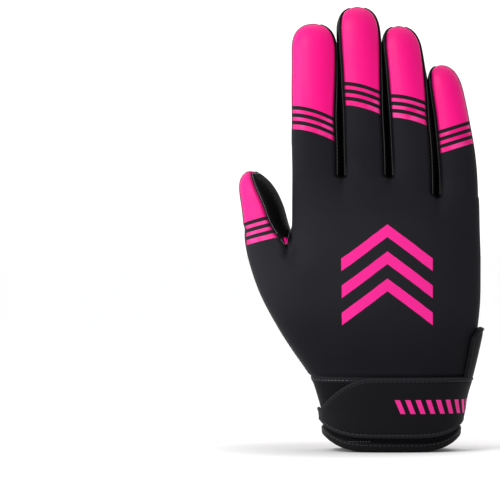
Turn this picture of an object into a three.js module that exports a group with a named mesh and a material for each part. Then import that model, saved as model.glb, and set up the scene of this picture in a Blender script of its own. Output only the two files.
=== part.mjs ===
// A football receiver glove for the right hand, filled as if it were worn, fingers up.
// X runs from the thumb to the little finger, Y from the back of the hand to the palm and
// Z from the wrist to the fingertips, in millimetres. The origin is the middle of the
// wrist opening, level with the lowest point of the hem.
//
// The outside of the glove is one net of four-sided faces, made of rings that run around
// the cuff, the hand, the thumb and each finger. Each sewn piece is its share of that net,
// thickened inwards and drawn back from its seams by half of the seam's gap.

import * as THREE from 'three';

// Cuff
const cuffWidth = 70;
const cuffDepth = 46;
const cuffBackHeight = 38;
const cuffPalmHeight = 16;
const thumbSeamRun = 17; // how far the slanted end of the cuff's seam reaches onto the palm
const littleSeamRun = 9;
const hemRise = 8; // how much higher the hem is at the two sides
const hemBindingHeight = 4.5;
const hemBindingProud = 0.5;

// Hand
const fingerCrotchHeight = 138.5;
const thumbCrotchHeight = 111;
const littleCrotchDrop = 10;
const palmDepth = 28;
const indexOverhang = 15.8; // how far the index side stands outside the cuff
const thenarBulge = 4; // the pad at the thumb's root, on the palm
const valleyBelow = 16; // how far below and above a crotch the hand gives way to fingers
const valleyAbove = 10;
const webRise = 1; // how much higher a crotch is in the middle of its thickness
const thumbValleyRun = 24;
const webBackDrop = 11; // how much lower the thumb's web ends on the back
const webPalmDrop = 0;
const webReach = 13; // how far across the hand that dip is felt
const webSlant = 0.25; // how far out its end lies for each millimetre of dip
const dipPower = 1.5; // how late the rings below it start to dip

// Thumb, measured up from its crotch
const thumbLength = 31.5;
const thumbWidth = 24.2;
const thumbDepth = 21;
const thumbForward = 11; // how far its outer side leans to the palm
const thumbTurn = 52; // degrees that its back is rolled away from the hand's back

// Fingers, measured up from their crotches
const indexLength = 79.4;
const middleLength = 87.8;
const ringLength = 78.2;
const littleLength = 68;
const indexWidth = 25;
const middleWidth = 23.5;
const ringWidth = 23.7;
const littleWidth = 20.3;
const fingerDepth = 19.5;
const littleDepth = 17.8;
const fingerGap = 0.6;
const fingerCurl = 9; // how far a fingertip bends to the palm
const tipLength = 12.5;

// Cloth
const backWall = 1.2;
const palmWall = 1.4;
const gussetWall = 1;
const cuffWall = 2;
const seamGap = 0.4;

// Closure
const strapThickness = 2.2;
const strapClearance = 0.5;
const strapHemMargin = 2.6; // bare cuff between the strap and the hem binding
const strapTopMargin = 0.6;
const strapTaper = 32; // length over which the strap narrows to its end
const strapEndWidth = 7;
const strapEndLength = 13;
const strapPastSide = 4; // how far each end reaches around the side of the wrist
const tabHeight = 24.2;
const tabWidth = 24;
const tabThickness = 2;
const tabLift = 0.9; // how far its free upper edge stands off
const tabRounding = 0.25; // share of its height that it loses at its corners

// Resolution of the net
const blockColumns = 4;
const sideColumns = 2;
const cuffRows = 5;
const blendRows = 4;
const handRows = 7;
const knuckleRows = 4;
const domeAngles = [30, 54, 75];
const strapSteps = 30;
const strapColumns = 4;
const tabColumns = 6;
const tabRows = 5;

// How round the sections are: 2 is an ellipse, more is boxier
const handPower = 2.5;
const fingerPower = 2.3;
const domePower = 2.4;
const cornerInset = 2.6; // from the side of the hand to the corner of its back
const cornerAngle = 42; // degrees from a finger's side to the corner of its back
const seamRoll = 4; // degrees that a finger's back is rolled to the thumb's side
const hemPower = 4.5;

// How late along a finger or the strap it narrows, how late a finger bends, and how much of
// its depth its tip has lost
const taperPower = 1.5;
const strapTaperPower = 2;
const curlPower = 1.7;
const tipThinning = 0.12;
const tipLineReach = 0.6; // share of a tip's last ring that the line closing it spans

// Where the thenar pad lies and how far it spreads, as shares of the way to the thumb's
// side, of the thumb's crotch height and of that height
const thenar = { across: 0.6, up: 0.62, spread: 0.22 };

// Share of the way from the cuff to the thumb's crotch where the rings run level
const levelShare = 0.28;

// The hand's sections. up is a share of the crotch height. thumbSide and littleSide are
// shares of the way from the cuff's side to the hand's widest there. back and palm are
// shares of the way from the cuff's depth to the hand's. bow is a share of thumbForward.
const handSections = [
  { up: 0.00, thumbSide: 0.00, littleSide: 0.00, back: 0.00, palm: 0.00, bow: 0.00 },
  { up: 0.13, thumbSide: 0.01, littleSide: 0.00, back: 0.04, palm: 0.02, bow: 0.00 },
  { up: 0.20, thumbSide: 0.07, littleSide: 0.13, back: 0.10, palm: 0.05, bow: 0.00 },
  { up: 0.27, thumbSide: 0.16, littleSide: 0.44, back: 0.18, palm: 0.10, bow: 0.02 },
  { up: 0.36, thumbSide: 0.37, littleSide: 0.75, back: 0.36, palm: 0.20, bow: 0.10 },
  { up: 0.45, thumbSide: 0.57, littleSide: 0.97, back: 0.52, palm: 0.32, bow: 0.25 },
  { up: 0.58, thumbSide: 0.81, littleSide: 1.15, back: 0.68, palm: 0.52, bow: 0.55 },
  { up: 0.70, thumbSide: 0.95, littleSide: 1.17, back: 0.78, palm: 0.80, bow: 0.85 },
  { up: 0.80, thumbSide: 1.00, littleSide: 1.12, back: 0.85, palm: 0.95, bow: 1.00 },
  { up: 1.00, thumbSide: 1.00, littleSide: 1.00, back: 1.00, palm: 1.10, bow: 1.00 },
];

// The thumb's rings. up is a share of thumbLength. across, forward and width are shares of
// thumbWidth, depth of thumbDepth, and turn of thumbTurn.
const thumbSections = [
  { up: 0.10, across: -0.08, forward: 0.26, width: 0.97, depth: 1.00, turn: 0.7 },
  { up: 0.25, across: -0.09, forward: 0.29, width: 0.93, depth: 0.99, turn: 0.80 },
  { up: 0.42, across: -0.11, forward: 0.34, width: 0.90, depth: 0.96, turn: 0.88 },
  { up: 0.58, across: -0.17, forward: 0.38, width: 0.84, depth: 0.91, turn: 0.95 },
  { up: 0.72, across: -0.23, forward: 0.42, width: 0.75, depth: 0.83, turn: 1.00 },
  { up: 0.85, across: -0.29, forward: 0.45, width: 0.59, depth: 0.68, turn: 1.00 },
  { up: 0.95, across: -0.33, forward: 0.47, width: 0.35, depth: 0.45, turn: 1.00 },
];

// taper is the share of its width that a finger has lost at its tip, and curl its share of
// fingerCurl.
const fingers = [
  { length: indexLength, width: indexWidth, depth: fingerDepth, drop: 0, taper: 0.12, curl: 0.9 },
  { length: middleLength, width: middleWidth, depth: fingerDepth, drop: 0, taper: 0.08, curl: 1.1 },
  { length: ringLength, width: ringWidth, depth: fingerDepth, drop: 0, taper: 0.19, curl: 1.0 },
  { length: littleLength, width: littleWidth, depth: littleDepth, drop: littleCrotchDrop,
    taper: 0.2, curl: 0.8 },
];
const shaftShares = [0.07, 0.18, 0.32, 0.46, 0.6, 0.74, 0.88, 1];
const shaftLevelShare = 0.32; // from here up a finger's rings are level

const mix = (a, b, share) => a + (b - a) * share;
const clamp01 = (t) => Math.min(1, Math.max(0, t));
const smooth = (t) => clamp01(t) ** 2 * (3 - 2 * clamp01(t));
const radians = THREE.MathUtils.degToRad;

// A smooth curve through one column of a table of sections.
function curveOf(table, column, key) {
  const last = table.length - 1;
  const slope = (i) => {
    const a = table[Math.max(0, i - 1)];
    const b = table[Math.min(last, i + 1)];
    return (b[column] - a[column]) / (b[key] - a[key]);
  };
  return (at) => {
    const i = Math.max(0, table.findLastIndex((row, k) => k < last && row[key] <= at));
    const a = table[i];
    const b = table[i + 1];
    const span = b[key] - a[key];
    const t = clamp01((at - a[key]) / span);
    const ease = t * t * (3 - 2 * t);
    return mix(a[column], b[column], ease)
      + span * (slope(i) * t * (1 - t) ** 2 - slope(i + 1) * t * t * (1 - t));
  };
}
const sectionColumns = Object.keys(handSections[0]).slice(1);
const section = Object.fromEntries(
  sectionColumns.map((column) => [column, curveOf(handSections, column, 'up')]),
);

// A point of a unit section with rounded corners, at an angle from its right side.
function unitPoint(angle, power) {
  const c = Math.cos(angle);
  const s = Math.sin(angle);
  return [Math.sign(c) * Math.abs(c) ** (2 / power), Math.sign(s) * Math.abs(s) ** (2 / power)];
}
const roundness = (reach, power) => (1 - Math.min(1, Math.abs(reach)) ** power) ** (1 / power);

// A block is the part of the hand below one finger. These are the angles of its columns
// around the finger above, from its left corner to its right, and their shares across it.
const columnAngles = Array.from({ length: blockColumns + 1 },
  (_, k) => radians(mix(180 - cornerAngle, cornerAngle, k / blockColumns) + seamRoll));
const columnReaches = columnAngles.map((angle) => unitPoint(angle, fingerPower)[0]);
const blockShares = columnReaches.map(
  (reach) => (reach - columnReaches[0]) / (columnReaches.at(-1) - columnReaches[0]),
);

// Fingers stand side by side, a gap apart, from the straight outer side of the index finger.
const indexSide = -cuffWidth / 2 - indexOverhang;
const lastFinger = fingers.length - 1;
const blockCount = fingers.length + 1;
const crotchOf = (f) => fingerCrotchHeight - fingers[f].drop;
function fingerWidthAt(f, z) {
  const along = clamp01((z - crotchOf(f)) / fingers[f].length);
  return fingers[f].width * (1 - fingers[f].taper * along ** taperPower);
}
function fingerEdges(f, z) {
  let left = indexSide;
  for (let k = 0; k < f; k += 1) left += fingerWidthAt(k, z) + fingerGap;
  return [left, left + fingerWidthAt(f, z)];
}
// The crotches between the fingers, and the height of every border of the finger blocks
const crotchX = fingers.slice(1).map((_, f) => fingerEdges(f + 1, crotchOf(f + 1))[0] - fingerGap / 2);
const borderZ = Array.from({ length: blockCount },
  (_, k) => Math.min(crotchOf(Math.max(0, k - 1)), crotchOf(Math.min(lastFinger, k))));
const littleSide = fingerEdges(lastFinger, crotchOf(lastFinger))[1];
const thumbSide = indexSide - thumbWidth;

// Left and right edges of the hand at a height, with the thumb's base below its crotch.
function handEdges(z, withThumb) {
  const up = z / fingerCrotchHeight;
  const left = withThumb ? mix(-cuffWidth / 2, thumbSide, section.thumbSide(up)) : indexSide;
  return [left, mix(cuffWidth / 2, littleSide, section.littleSide(up))];
}

// Borders of the five blocks (thumb, index, middle, ring, little) across the hand. The
// thumb's block ends at its crotch.
const thumbGap = indexSide - fingerGap / 2;
function blockBorders(z, withThumb) {
  const [left, right] = handEdges(z, withThumb);
  if (!withThumb) return [null, left + cornerInset, ...crotchX, right - cornerInset];
  const top = handEdges(thumbCrotchHeight, true).map((x, k) => x + (k ? -1 : 1) * cornerInset);
  const shares = [thumbGap, ...crotchX].map((x) => (x - top[0]) / (top[1] - top[0]));
  return [0, ...shares, 1].map((share) => mix(left + cornerInset, right - cornerInset, share));
}

// Height of the crotches above a place across the finger blocks
const crotchHeightAt = (block, share) => mix(borderZ[block - 1], borderZ[block], share);

// Middle surface of the hand: flat, and bowed to the palm under the thumb.
function middleY(x, z, withThumb) {
  if (!withThumb) return 0;
  const borders = blockBorders(z, true);
  const [left] = handEdges(z, true);
  const outward = clamp01((borders[1] - x) / (borders[1] - left));
  return thumbForward * section.bow(z / fingerCrotchHeight) * outward ** 2;
}

const handDepth = (face, z) => mix(cuffDepth, palmDepth, section[face](z / fingerCrotchHeight));

function thenarPad(x, z) {
  const across = (x - thumbSide * thenar.across) / thumbWidth;
  const up = (z / thumbCrotchHeight - thenar.up) / thenar.spread;
  return thenarBulge * Math.exp(-(across ** 2) - up ** 2);
}

// Distance from the middle surface to the outside, on the back or the palm, at a column
// of a block
function handHalfDepth(face, x, z, withThumb, block, column) {
  const profile = ([left, right], at) => (
    (handDepth(face, z) / 2) * roundness((2 * at - left - right) / (right - left), handPower));
  const fingerShape = unitPoint(columnAngles[column], fingerPower)[1];
  const bare = handEdges(z, false);
  let half = profile(bare, Math.max(x, bare[0] + cornerInset));
  if (withThumb) {
    const beside = block === 0 ? (thumbDepth / 2) * fingerShape : half;
    const nearThumb = smooth(1 + (z - thumbCrotchHeight) / thumbValleyRun);
    half = mix(profile(handEdges(z, true), x), beside, nearThumb);
    if (face === 'palm') half += thenarPad(x, z);
  }
  if (block === 0) return half;
  const past = z - crotchHeightAt(block, blockShares[column]) + valleyBelow;
  const nearFingers = smooth(past / (valleyBelow + valleyAbove));
  return mix(half, (fingers[block - 1].depth / 2) * fingerShape, nearFingers);
}

// The net's points and faces.
const points = [];
const faces = [];
const addPoint = (x, y, z) => points.push(new THREE.Vector3(x, y, z)) - 1;
const addFace = (piece, ...corners) => faces.push({ piece, corners });

// Joins two rings, the lower one first, with a row of faces. pieces names the piece of the
// back, the palm, and of each side's columns from the back to the palm.
function joinRings(lower, upper, pieces) {
  for (let k = 0; k + 1 < lower.back.length; k += 1) {
    addFace(pieces.back, lower.back[k], lower.back[k + 1], upper.back[k + 1], upper.back[k]);
    addFace(pieces.palm, lower.palm[k + 1], lower.palm[k], upper.palm[k], upper.palm[k + 1]);
  }
  const rightOf = (ring) => [ring.back.at(-1), ...ring.right, ring.palm.at(-1)];
  const leftOf = (ring) => [ring.back[0], ...ring.left, ring.palm[0]];
  for (let k = 0; k < sideColumns; k += 1) {
    const [r, s] = [rightOf(lower), rightOf(upper)];
    addFace(pieces.right[k], r[k], r[k + 1], s[k + 1], s[k]);
    const [l, m] = [leftOf(lower), leftOf(upper)];
    addFace(pieces.left[k], l[k + 1], l[k], m[k], m[k + 1]);
  }
}

// Closes the last ring of a finger with a line of points over its tip.
function closeTip(ring, pieces, centre, rise) {
  const line = ring.back.map((id, k) => {
    const across = points[id].clone().lerp(points[ring.palm[k]], 0.5);
    return addPoint(
      mix(centre.x, across.x, tipLineReach), mix(centre.y, across.y, tipLineReach), centre.z + rise,
    );
  });
  for (let k = 0; k + 1 < line.length; k += 1) {
    addFace(pieces.back, ring.back[k], ring.back[k + 1], line[k + 1], line[k]);
    addFace(pieces.palm, ring.palm[k + 1], ring.palm[k], line[k], line[k + 1]);
  }
  addFace(pieces.right[0], ring.back.at(-1), ring.right[0], line.at(-1));
  addFace(pieces.right[1], ring.right[0], ring.palm.at(-1), line.at(-1));
  addFace(pieces.left[0], ring.left[0], ring.back[0], line[0]);
  addFace(pieces.left[1], ring.palm[0], ring.left[0], line[0]);
}

// How much lower a ring runs beside the end of the thumb's web
function webDip(face, fromWeb) {
  const drop = face === 'back' ? webBackDrop : webPalmDrop;
  return drop * Math.exp(-((fromWeb / webReach) ** 2));
}

// A ring around the cuff or the hand. heightAt gives a point's height from its face, its
// place across and its distance from the nearer side. dip is the share of the web's dip.
function handRing(withThumb, heightAt, roughHeight, dip = 0) {
  const first = withThumb ? 0 : 1;
  const ring = { back: [], palm: [], left: [], right: [] };
  for (const face of ['back', 'palm']) {
    for (let block = first; block < blockCount; block += 1) {
      blockShares.forEach((share, k) => {
        if (k === 0 && block > first) return;
        const place = { face, block, share, column: k };
        const across = acrossPlace(roughHeight, withThumb, block, share);
        const lower = dip * webDip(face, across.fromWeb);
        const z = heightAt({ ...place, ...across }) - lower;
        const borders = blockBorders(z, withThumb);
        const outward = withThumb ? webSlant * lower : 0;
        const x = mix(borders[block], borders[block + 1], share) - outward;
        let half = handHalfDepth(face, x, z, withThumb, block, k);
        if (k === blockColumns && block < blockCount - 1) {
          half = (half + handHalfDepth(face, x, z, withThumb, block + 1, 0)) / 2;
        }
        const y = middleY(x, z, withThumb) + (face === 'back' ? -half : half);
        ring[face].push(addPoint(x, y, z));
      });
    }
  }
  for (const side of ['left', 'right']) {
    const edge = side === 'left' ? 0 : 1;
    const z = heightAt({ face: 'side', side, reach: edge * 2 - 1, fromLeft: 0, fromRight: 0 });
    const x = handEdges(z, withThumb)[edge];
    ring[side].push(addPoint(x, middleY(x, z, withThumb), z));
  }
  return ring;
}

// Where a column lies across the hand: its reach from the middle, -1 to 1, and its
// distances from the two sides and from the border under the thumb's web.
function acrossPlace(z, withThumb, block, share) {
  const [left, right] = handEdges(z, withThumb);
  const borders = blockBorders(z, withThumb);
  const x = mix(borders[block], borders[block + 1], share);
  return {
    reach: (2 * x - left - right) / (right - left),
    fromLeft: x - left,
    fromRight: right - x,
    fromWeb: x - borders[1],
  };
}

// The hem dips in the middle of the back and of the palm. The cuff's seam is high on the
// back and slants down to a low line on the palm.
const hemHeight = (place) => hemRise * Math.abs(place.reach) ** hemPower;
function seamHeight(place) {
  if (place.face !== 'palm') return cuffBackHeight;
  const slant = Math.min(place.fromLeft / thumbSeamRun, place.fromRight / littleSeamRun);
  return mix(cuffBackHeight, cuffPalmHeight, smooth(slant));
}
const cuffHeight = (row) => (place) => {
  const bound = hemHeight(place) + hemBindingHeight;
  if (row === 0) return hemHeight(place);
  return mix(bound, seamHeight(place), (row - 1) / (cuffRows - 1));
};
const levelHeight = mix(cuffBackHeight, thumbCrotchHeight, levelShare);

const everywhere = (piece) => ({
  back: piece, palm: piece, left: [piece, piece], right: [piece, piece],
});
const bodyPieces = {
  back: 'back_panel', palm: 'palm_panel',
  left: ['back_panel', 'palm_panel'], right: ['back_panel', 'palm_panel'],
};

// Cuff, then the hand up to the thumb's crotch
const cuffRings = Array.from({ length: cuffRows + 1 }, (_, row) => handRing(true, cuffHeight(row), 0));
cuffRings.slice(1).forEach((ring, row) => {
  joinRings(cuffRings[row], ring, everywhere(row === 0 ? 'hem_binding' : 'wrist_cuff'));
});
let ring = cuffRings.at(-1);
for (let row = 1; row <= blendRows; row += 1) {
  const height = (place) => mix(seamHeight(place), levelHeight, row / blendRows);
  const next = handRing(true, height, cuffBackHeight);
  joinRings(ring, next, bodyPieces);
  ring = next;
}
for (let row = 1; row <= handRows; row += 1) {
  const share = row / handRows;
  const level = mix(levelHeight, thumbCrotchHeight, share);
  const next = handRing(true, () => level, level, share ** dipPower);
  joinRings(ring, next, bodyPieces);
  ring = next;
}
const thumbCrotchRing = ring;

// Crotch between the thumb and the index finger, shared by both
const split = (source, from, to) => ({
  back: source.back.slice(from * blockColumns, to * blockColumns + 1),
  palm: source.palm.slice(from * blockColumns, to * blockColumns + 1),
});
function crotchMiddle(backId, palmId, x, z) {
  return [addPoint(x, (points[backId].y + points[palmId].y) / 2, z + webRise)];
}
const thumbCrotch = crotchMiddle(
  thumbCrotchRing.back[blockColumns], thumbCrotchRing.palm[blockColumns],
  thumbGap, thumbCrotchHeight - webRise,
);

// The hand from the thumb's crotch to the fingers'
function topOf({ face, side, block, share }) {
  if (face === 'side') return side === 'left' ? borderZ[0] : borderZ.at(-1);
  return crotchHeightAt(block, share);
}
ring = { ...split(thumbCrotchRing, 1, blockCount), left: thumbCrotch, right: thumbCrotchRing.right };
for (let row = 1; row <= knuckleRows; row += 1) {
  const height = (place) => mix(thumbCrotchHeight, topOf(place), row / knuckleRows);
  const next = handRing(false, height, fingerCrotchHeight, 1 - row / knuckleRows);
  joinRings(ring, next, bodyPieces);
  ring = next;
}
const fingerCrotchRing = ring;

// Thumb
const thumbPieces = {
  back: 'back_panel', palm: 'palm_panel',
  left: ['back_panel', 'palm_panel'], right: ['gusset_thumb', 'gusset_thumb'],
};
function turnedRing(centre, halfWidth, halfDepth, turn, power) {
  const place = (angle) => {
    const [u, v] = unitPoint(angle, power);
    const across = u * halfWidth;
    const outward = v * halfDepth;
    return addPoint(
      centre.x + across * Math.cos(turn) - outward * Math.sin(turn),
      centre.y - across * Math.sin(turn) - outward * Math.cos(turn),
      centre.z,
    );
  };
  return {
    back: columnAngles.map((angle) => place(angle)),
    palm: columnAngles.map((angle) => place(-angle)),
    left: [place(Math.PI)],
    right: [place(0)],
  };
}
const thumbMiddle = (indexSide + thumbSide) / 2;
const thumbStart = { ...split(thumbCrotchRing, 0, 1), left: thumbCrotchRing.left, right: thumbCrotch };
let thumbCentre;
const lastThumbRing = thumbSections.reduce((below, row) => {
  thumbCentre = new THREE.Vector3(
    thumbMiddle + row.across * thumbWidth,
    row.forward * thumbWidth,
    thumbCrotchHeight + row.up * thumbLength,
  );
  const next = turnedRing(thumbCentre, (row.width * thumbWidth) / 2, (row.depth * thumbDepth) / 2,
    radians(row.turn * thumbTurn), fingerPower);
  joinRings(below, next, thumbPieces);
  return next;
}, thumbStart);
closeTip(lastThumbRing, thumbPieces, thumbCentre, (1 - thumbSections.at(-1).up) * thumbLength);

// Fingers, with a gusset folded into each crotch between two of them
const gussetNames = ['gusset_index_middle', 'gusset_middle_ring', 'gusset_ring_little'];
const crotches = crotchX.map((x, f) => crotchMiddle(
  fingerCrotchRing.back[(f + 1) * blockColumns], fingerCrotchRing.palm[(f + 1) * blockColumns],
  x, borderZ[f + 1],
));

function fingerRing(f, height, narrowing = 1) {
  const finger = fingers[f];
  const place = (angle, share) => {
    const z = height(share);
    const along = clamp01((z - crotchOf(f)) / finger.length);
    const [left, right] = fingerEdges(f, z);
    const [u, v] = unitPoint(angle, fingerPower);
    const halfWidth = ((right - left) / 2) * narrowing;
    const halfDepth = (finger.depth / 2) * (1 - tipThinning * along) * narrowing;
    const bend = fingerCurl * finger.curl * along ** curlPower;
    return addPoint((left + right) / 2 + u * halfWidth, bend - v * halfDepth, z);
  };
  return {
    back: columnAngles.map((angle, k) => place(angle, blockShares[k])),
    palm: columnAngles.map((angle, k) => place(-angle, blockShares[k])),
    left: [place(Math.PI, 0)],
    right: [place(0, 1)],
  };
}

fingers.forEach((finger, f) => {
  const pieces = {
    back: 'back_panel',
    palm: 'palm_panel',
    left: f === 0 ? bodyPieces.left : [gussetNames[f - 1], gussetNames[f - 1]],
    right: f === lastFinger ? bodyPieces.right : [gussetNames[f], gussetNames[f]],
  };
  let below = {
    ...split(fingerCrotchRing, f, f + 1),
    left: f === 0 ? fingerCrotchRing.left : crotches[f - 1],
    right: f === lastFinger ? fingerCrotchRing.right : crotches[f],
  };
  const tip = crotchOf(f) + finger.length;
  const shaftTop = tip - tipLength;
  const levelled = mix(crotchOf(f), shaftTop, shaftLevelShare);
  shaftShares.forEach((share) => {
    const height = (across) => (share >= shaftLevelShare
      ? mix(crotchOf(f), shaftTop, share)
      : mix(crotchHeightAt(f + 1, across), levelled, share / shaftLevelShare));
    const next = fingerRing(f, height);
    joinRings(below, next, pieces);
    below = next;
  });
  domeAngles.forEach((angle) => {
    const up = Math.sin(radians(angle));
    const next = fingerRing(f, () => shaftTop + tipLength * up, roundness(up, domePower));
    joinRings(below, next, pieces);
    below = next;
  });
  const centre = points[below.left[0]].clone().lerp(points[below.right[0]], 0.5);
  closeTip(below, pieces, centre, tip - centre.z);
});

// Outward direction at each point of the net
const normals = points.map(() => new THREE.Vector3());
function faceNormal(corners) {
  const [a, b, c] = corners.map((id) => points[id]);
  const d = points[corners.at(-1)];
  return corners.length === 4
    ? new THREE.Vector3().crossVectors(c.clone().sub(a), d.clone().sub(b)).normalize()
    : new THREE.Vector3().crossVectors(b.clone().sub(a), c.clone().sub(a)).normalize();
}
for (const { corners } of faces) {
  const normal = faceNormal(corners);
  corners.forEach((id) => normals[id].add(normal));
}
normals.forEach((normal) => normal.normalize());

// The edges where a face meets another piece or nothing, and at each point of such a seam
// the way from it into each piece that meets there
const seams = [];
const waysIn = points.map(() => new Map());
const faceBeside = new Map();
faces.forEach((face) => face.corners.forEach((a, k) => {
  faceBeside.set(`${a} ${face.corners[(k + 1) % face.corners.length]}`, face);
}));
faceBeside.forEach(({ piece, corners }, edge) => {
  const [a, b] = edge.split(' ').map(Number);
  if (faceBeside.get(`${b} ${a}`)?.piece === piece) return;
  seams.push({ piece, a, b });
  const way = faceNormal(corners).cross(points[b].clone().sub(points[a])).normalize();
  [a, b].forEach((id) => {
    waysIn[id].set(piece, (waysIn[id].get(piece) ?? new THREE.Vector3()).add(way));
  });
});

// The way in from a seam for one piece: away from the other pieces, along the surface
function seamInset(id, piece) {
  const ways = waysIn[id];
  const inset = ways.get(piece).clone();
  ways.forEach((way, other) => {
    if (other !== piece) inset.addScaledVector(way, -1 / (ways.size - 1));
  });
  return inset.addScaledVector(normals[id], -inset.dot(normals[id])).setLength(seamGap / 2);
}

function solidGeometry(position, index) {
  const geometry = new THREE.BufferGeometry();
  geometry.setAttribute('position', new THREE.Float32BufferAttribute(position, 3));
  geometry.setIndex(index);
  geometry.computeVertexNormals();
  return geometry;
}

// Makes the solid of one sewn piece from its faces of the net.
function pieceGeometry(piece, wall, proud = 0) {
  const own = faces.filter((face) => face.piece === piece);
  const borders = seams.filter((seam) => seam.piece === piece);
  const position = [];
  const place = new Map();
  const corner = (id, inside) => {
    const key = `${id} ${inside}`;
    if (!place.has(key)) {
      const at = points[id].clone();
      if (waysIn[id].has(piece)) at.add(seamInset(id, piece));
      at.addScaledVector(normals[id], inside ? -wall - proud : proud);
      place.set(key, position.push(at.x, at.y, at.z) / 3 - 1);
    }
    return place.get(key);
  };
  const index = [];
  const fan = (ids) => {
    for (let k = 1; k + 1 < ids.length; k += 1) index.push(ids[0], ids[k], ids[k + 1]);
  };
  own.forEach(({ corners }) => {
    fan(corners.map((id) => corner(id, false)));
    fan([corners[0], ...corners.slice(1).reverse()].map((id) => corner(id, true)));
  });
  borders.forEach(({ a, b }) => {
    const rim = [corner(b, false), corner(a, false), corner(a, true), corner(b, true)];
    fan(a < b ? rim : [...rim.slice(1), rim[0]]);
  });
  return solidGeometry(position, index);
}

// A curved plate from a grid of points on its inner side, each with its outward direction
function plateGeometry(grid, thickness) {
  const rows = grid.length;
  const columns = grid[0].length;
  const position = [0, thickness].flatMap((height) => grid.flat().flatMap(
    ({ at, out }) => at.clone().addScaledVector(out, height).toArray(),
  ));
  const inner = (row, column) => row * columns + column;
  const outer = (row, column) => (rows + row) * columns + column;
  const index = [];
  const quad = (a, b, c, d) => index.push(a, b, c, a, c, d);
  for (let r = 0; r + 1 < rows; r += 1) {
    for (let c = 0; c + 1 < columns; c += 1) {
      quad(outer(r, c), outer(r, c + 1), outer(r + 1, c + 1), outer(r + 1, c));
      quad(inner(r, c), inner(r + 1, c), inner(r + 1, c + 1), inner(r, c + 1));
    }
    const last = columns - 1;
    quad(inner(r, 0), outer(r, 0), outer(r + 1, 0), inner(r + 1, 0));
    quad(outer(r, last), inner(r, last), inner(r + 1, last), outer(r + 1, last));
  }
  for (let c = 0; c + 1 < columns; c += 1) {
    const last = rows - 1;
    quad(inner(0, c), inner(0, c + 1), outer(0, c + 1), outer(0, c));
    quad(inner(last, c + 1), inner(last, c), outer(last, c), outer(last, c + 1));
  }
  return solidGeometry(position, index);
}

// A point on the outside of the wrist, turned from its little-finger side over the back,
// with its outward direction.
function wristPoint(turn, z, offset) {
  const [left, right] = handEdges(z, true);
  const halfWidth = (right - left) / 2;
  const halfDepth = handDepth(turn >= 0 && turn <= Math.PI ? 'back' : 'palm', z) / 2;
  const [u, v] = unitPoint(turn, handPower);
  const steep = (t) => Math.sign(t) * Math.abs(t) ** (handPower - 1);
  const out = new THREE.Vector3(steep(u) / halfWidth, -steep(v) / halfDepth, 0).normalize();
  const x = (left + right) / 2 + u * halfWidth;
  const at = new THREE.Vector3(x, middleY(x, z, true) - v * halfDepth, z);
  return { at: at.addScaledVector(out, offset), out };
}

// How far the wrist is turned where its outside lies this far past its side
const turnPastSide = (distance) => Math.asin((2 * distance / cuffDepth) ** (handPower / 2));

// Strap: from the little-finger side over the back of the wrist to its narrow end
const strapTurn = turnPastSide(strapPastSide);
const strapTurns = Array.from({ length: strapSteps + 1 },
  (_, k) => mix(-strapTurn, Math.PI + strapTurn, k / strapSteps));
const strapPath = strapTurns.map((turn) => wristPoint(turn, cuffPalmHeight, strapClearance).at);
const lengthLeft = (k) => strapPath.slice(k + 1).reduce(
  (sum, at, i) => sum + at.distanceTo(strapPath[k + i]), 0,
);
const strapGrid = strapTurns.map((turn, k) => {
  const reach = unitPoint(turn, handPower)[0];
  const low = hemHeight({ reach }) + hemBindingHeight + strapHemMargin;
  const narrowed = clamp01((strapEndLength + strapTaper - lengthLeft(k)) / strapTaper) ** strapTaperPower;
  const top = mix(cuffBackHeight - strapTopMargin, low + strapEndWidth, narrowed);
  return Array.from({ length: strapColumns + 1 },
    (_, c) => wristPoint(turn, mix(low, top, c / strapColumns), strapClearance));
});

// Tab on the little-finger side, above the strap, with a rounded and lifted upper edge
const tabTurn = turnPastSide(tabWidth / 2);
const tabBottom = cuffBackHeight + strapTopMargin;
const tabGrid = Array.from({ length: tabColumns + 1 }, (_, c) => {
  const across = (2 * c) / tabColumns - 1;
  const height = tabHeight * (1 - tabRounding * Math.abs(across) ** 3);
  return Array.from({ length: tabRows + 1 }, (__, r) => {
    const up = r / tabRows;
    return wristPoint(across * tabTurn, tabBottom + height * up, strapClearance + tabLift * up ** 2);
  });
});

// Colours and finishes
const blackCloth = new THREE.MeshStandardMaterial({ color: 0x202024, roughness: 0.85 });
const blackPalm = new THREE.MeshStandardMaterial({ color: 0x0c0c0e, roughness: 0.18 });
const blackStretch = new THREE.MeshStandardMaterial({ color: 0x121214, roughness: 0.55 });
const blackCuff = new THREE.MeshStandardMaterial({ color: 0x1a1a1d, roughness: 0.8 });
const blackBinding = new THREE.MeshStandardMaterial({ color: 0x141416, roughness: 0.7 });
const blackStrap = new THREE.MeshStandardMaterial({ color: 0x1b1b1f, roughness: 0.6 });

const glove = new THREE.Group();
function addMesh(name, geometry, material) {
  const mesh = new THREE.Mesh(geometry, material);
  mesh.name = name;
  glove.add(mesh);
}
addMesh('back_panel', pieceGeometry('back_panel', backWall), blackCloth);
addMesh('palm_panel', pieceGeometry('palm_panel', palmWall), blackPalm);
for (const name of [...gussetNames, 'gusset_thumb']) {
  addMesh(name, pieceGeometry(name, gussetWall), blackStretch);
}
addMesh('wrist_cuff', pieceGeometry('wrist_cuff', cuffWall), blackCuff);
addMesh('hem_binding', pieceGeometry('hem_binding', cuffWall, hemBindingProud), blackBinding);
addMesh('strap', plateGeometry(strapGrid, strapThickness), blackStrap);
addMesh('side_tab', plateGeometry(tabGrid, tabThickness), blackStrap);

export default glove;
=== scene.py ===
"""The looks of a football receiver glove for the right hand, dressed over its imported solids.

X runs from the thumb to the little finger, Y from the back of the hand to the palm and Z
from the wrist to the fingertips. Shapes are worked out in millimetres and handed to
Blender in metres.
"""

import math

import bpy
import numpy as np
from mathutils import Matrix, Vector
from mathutils.kdtree import KDTree


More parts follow.
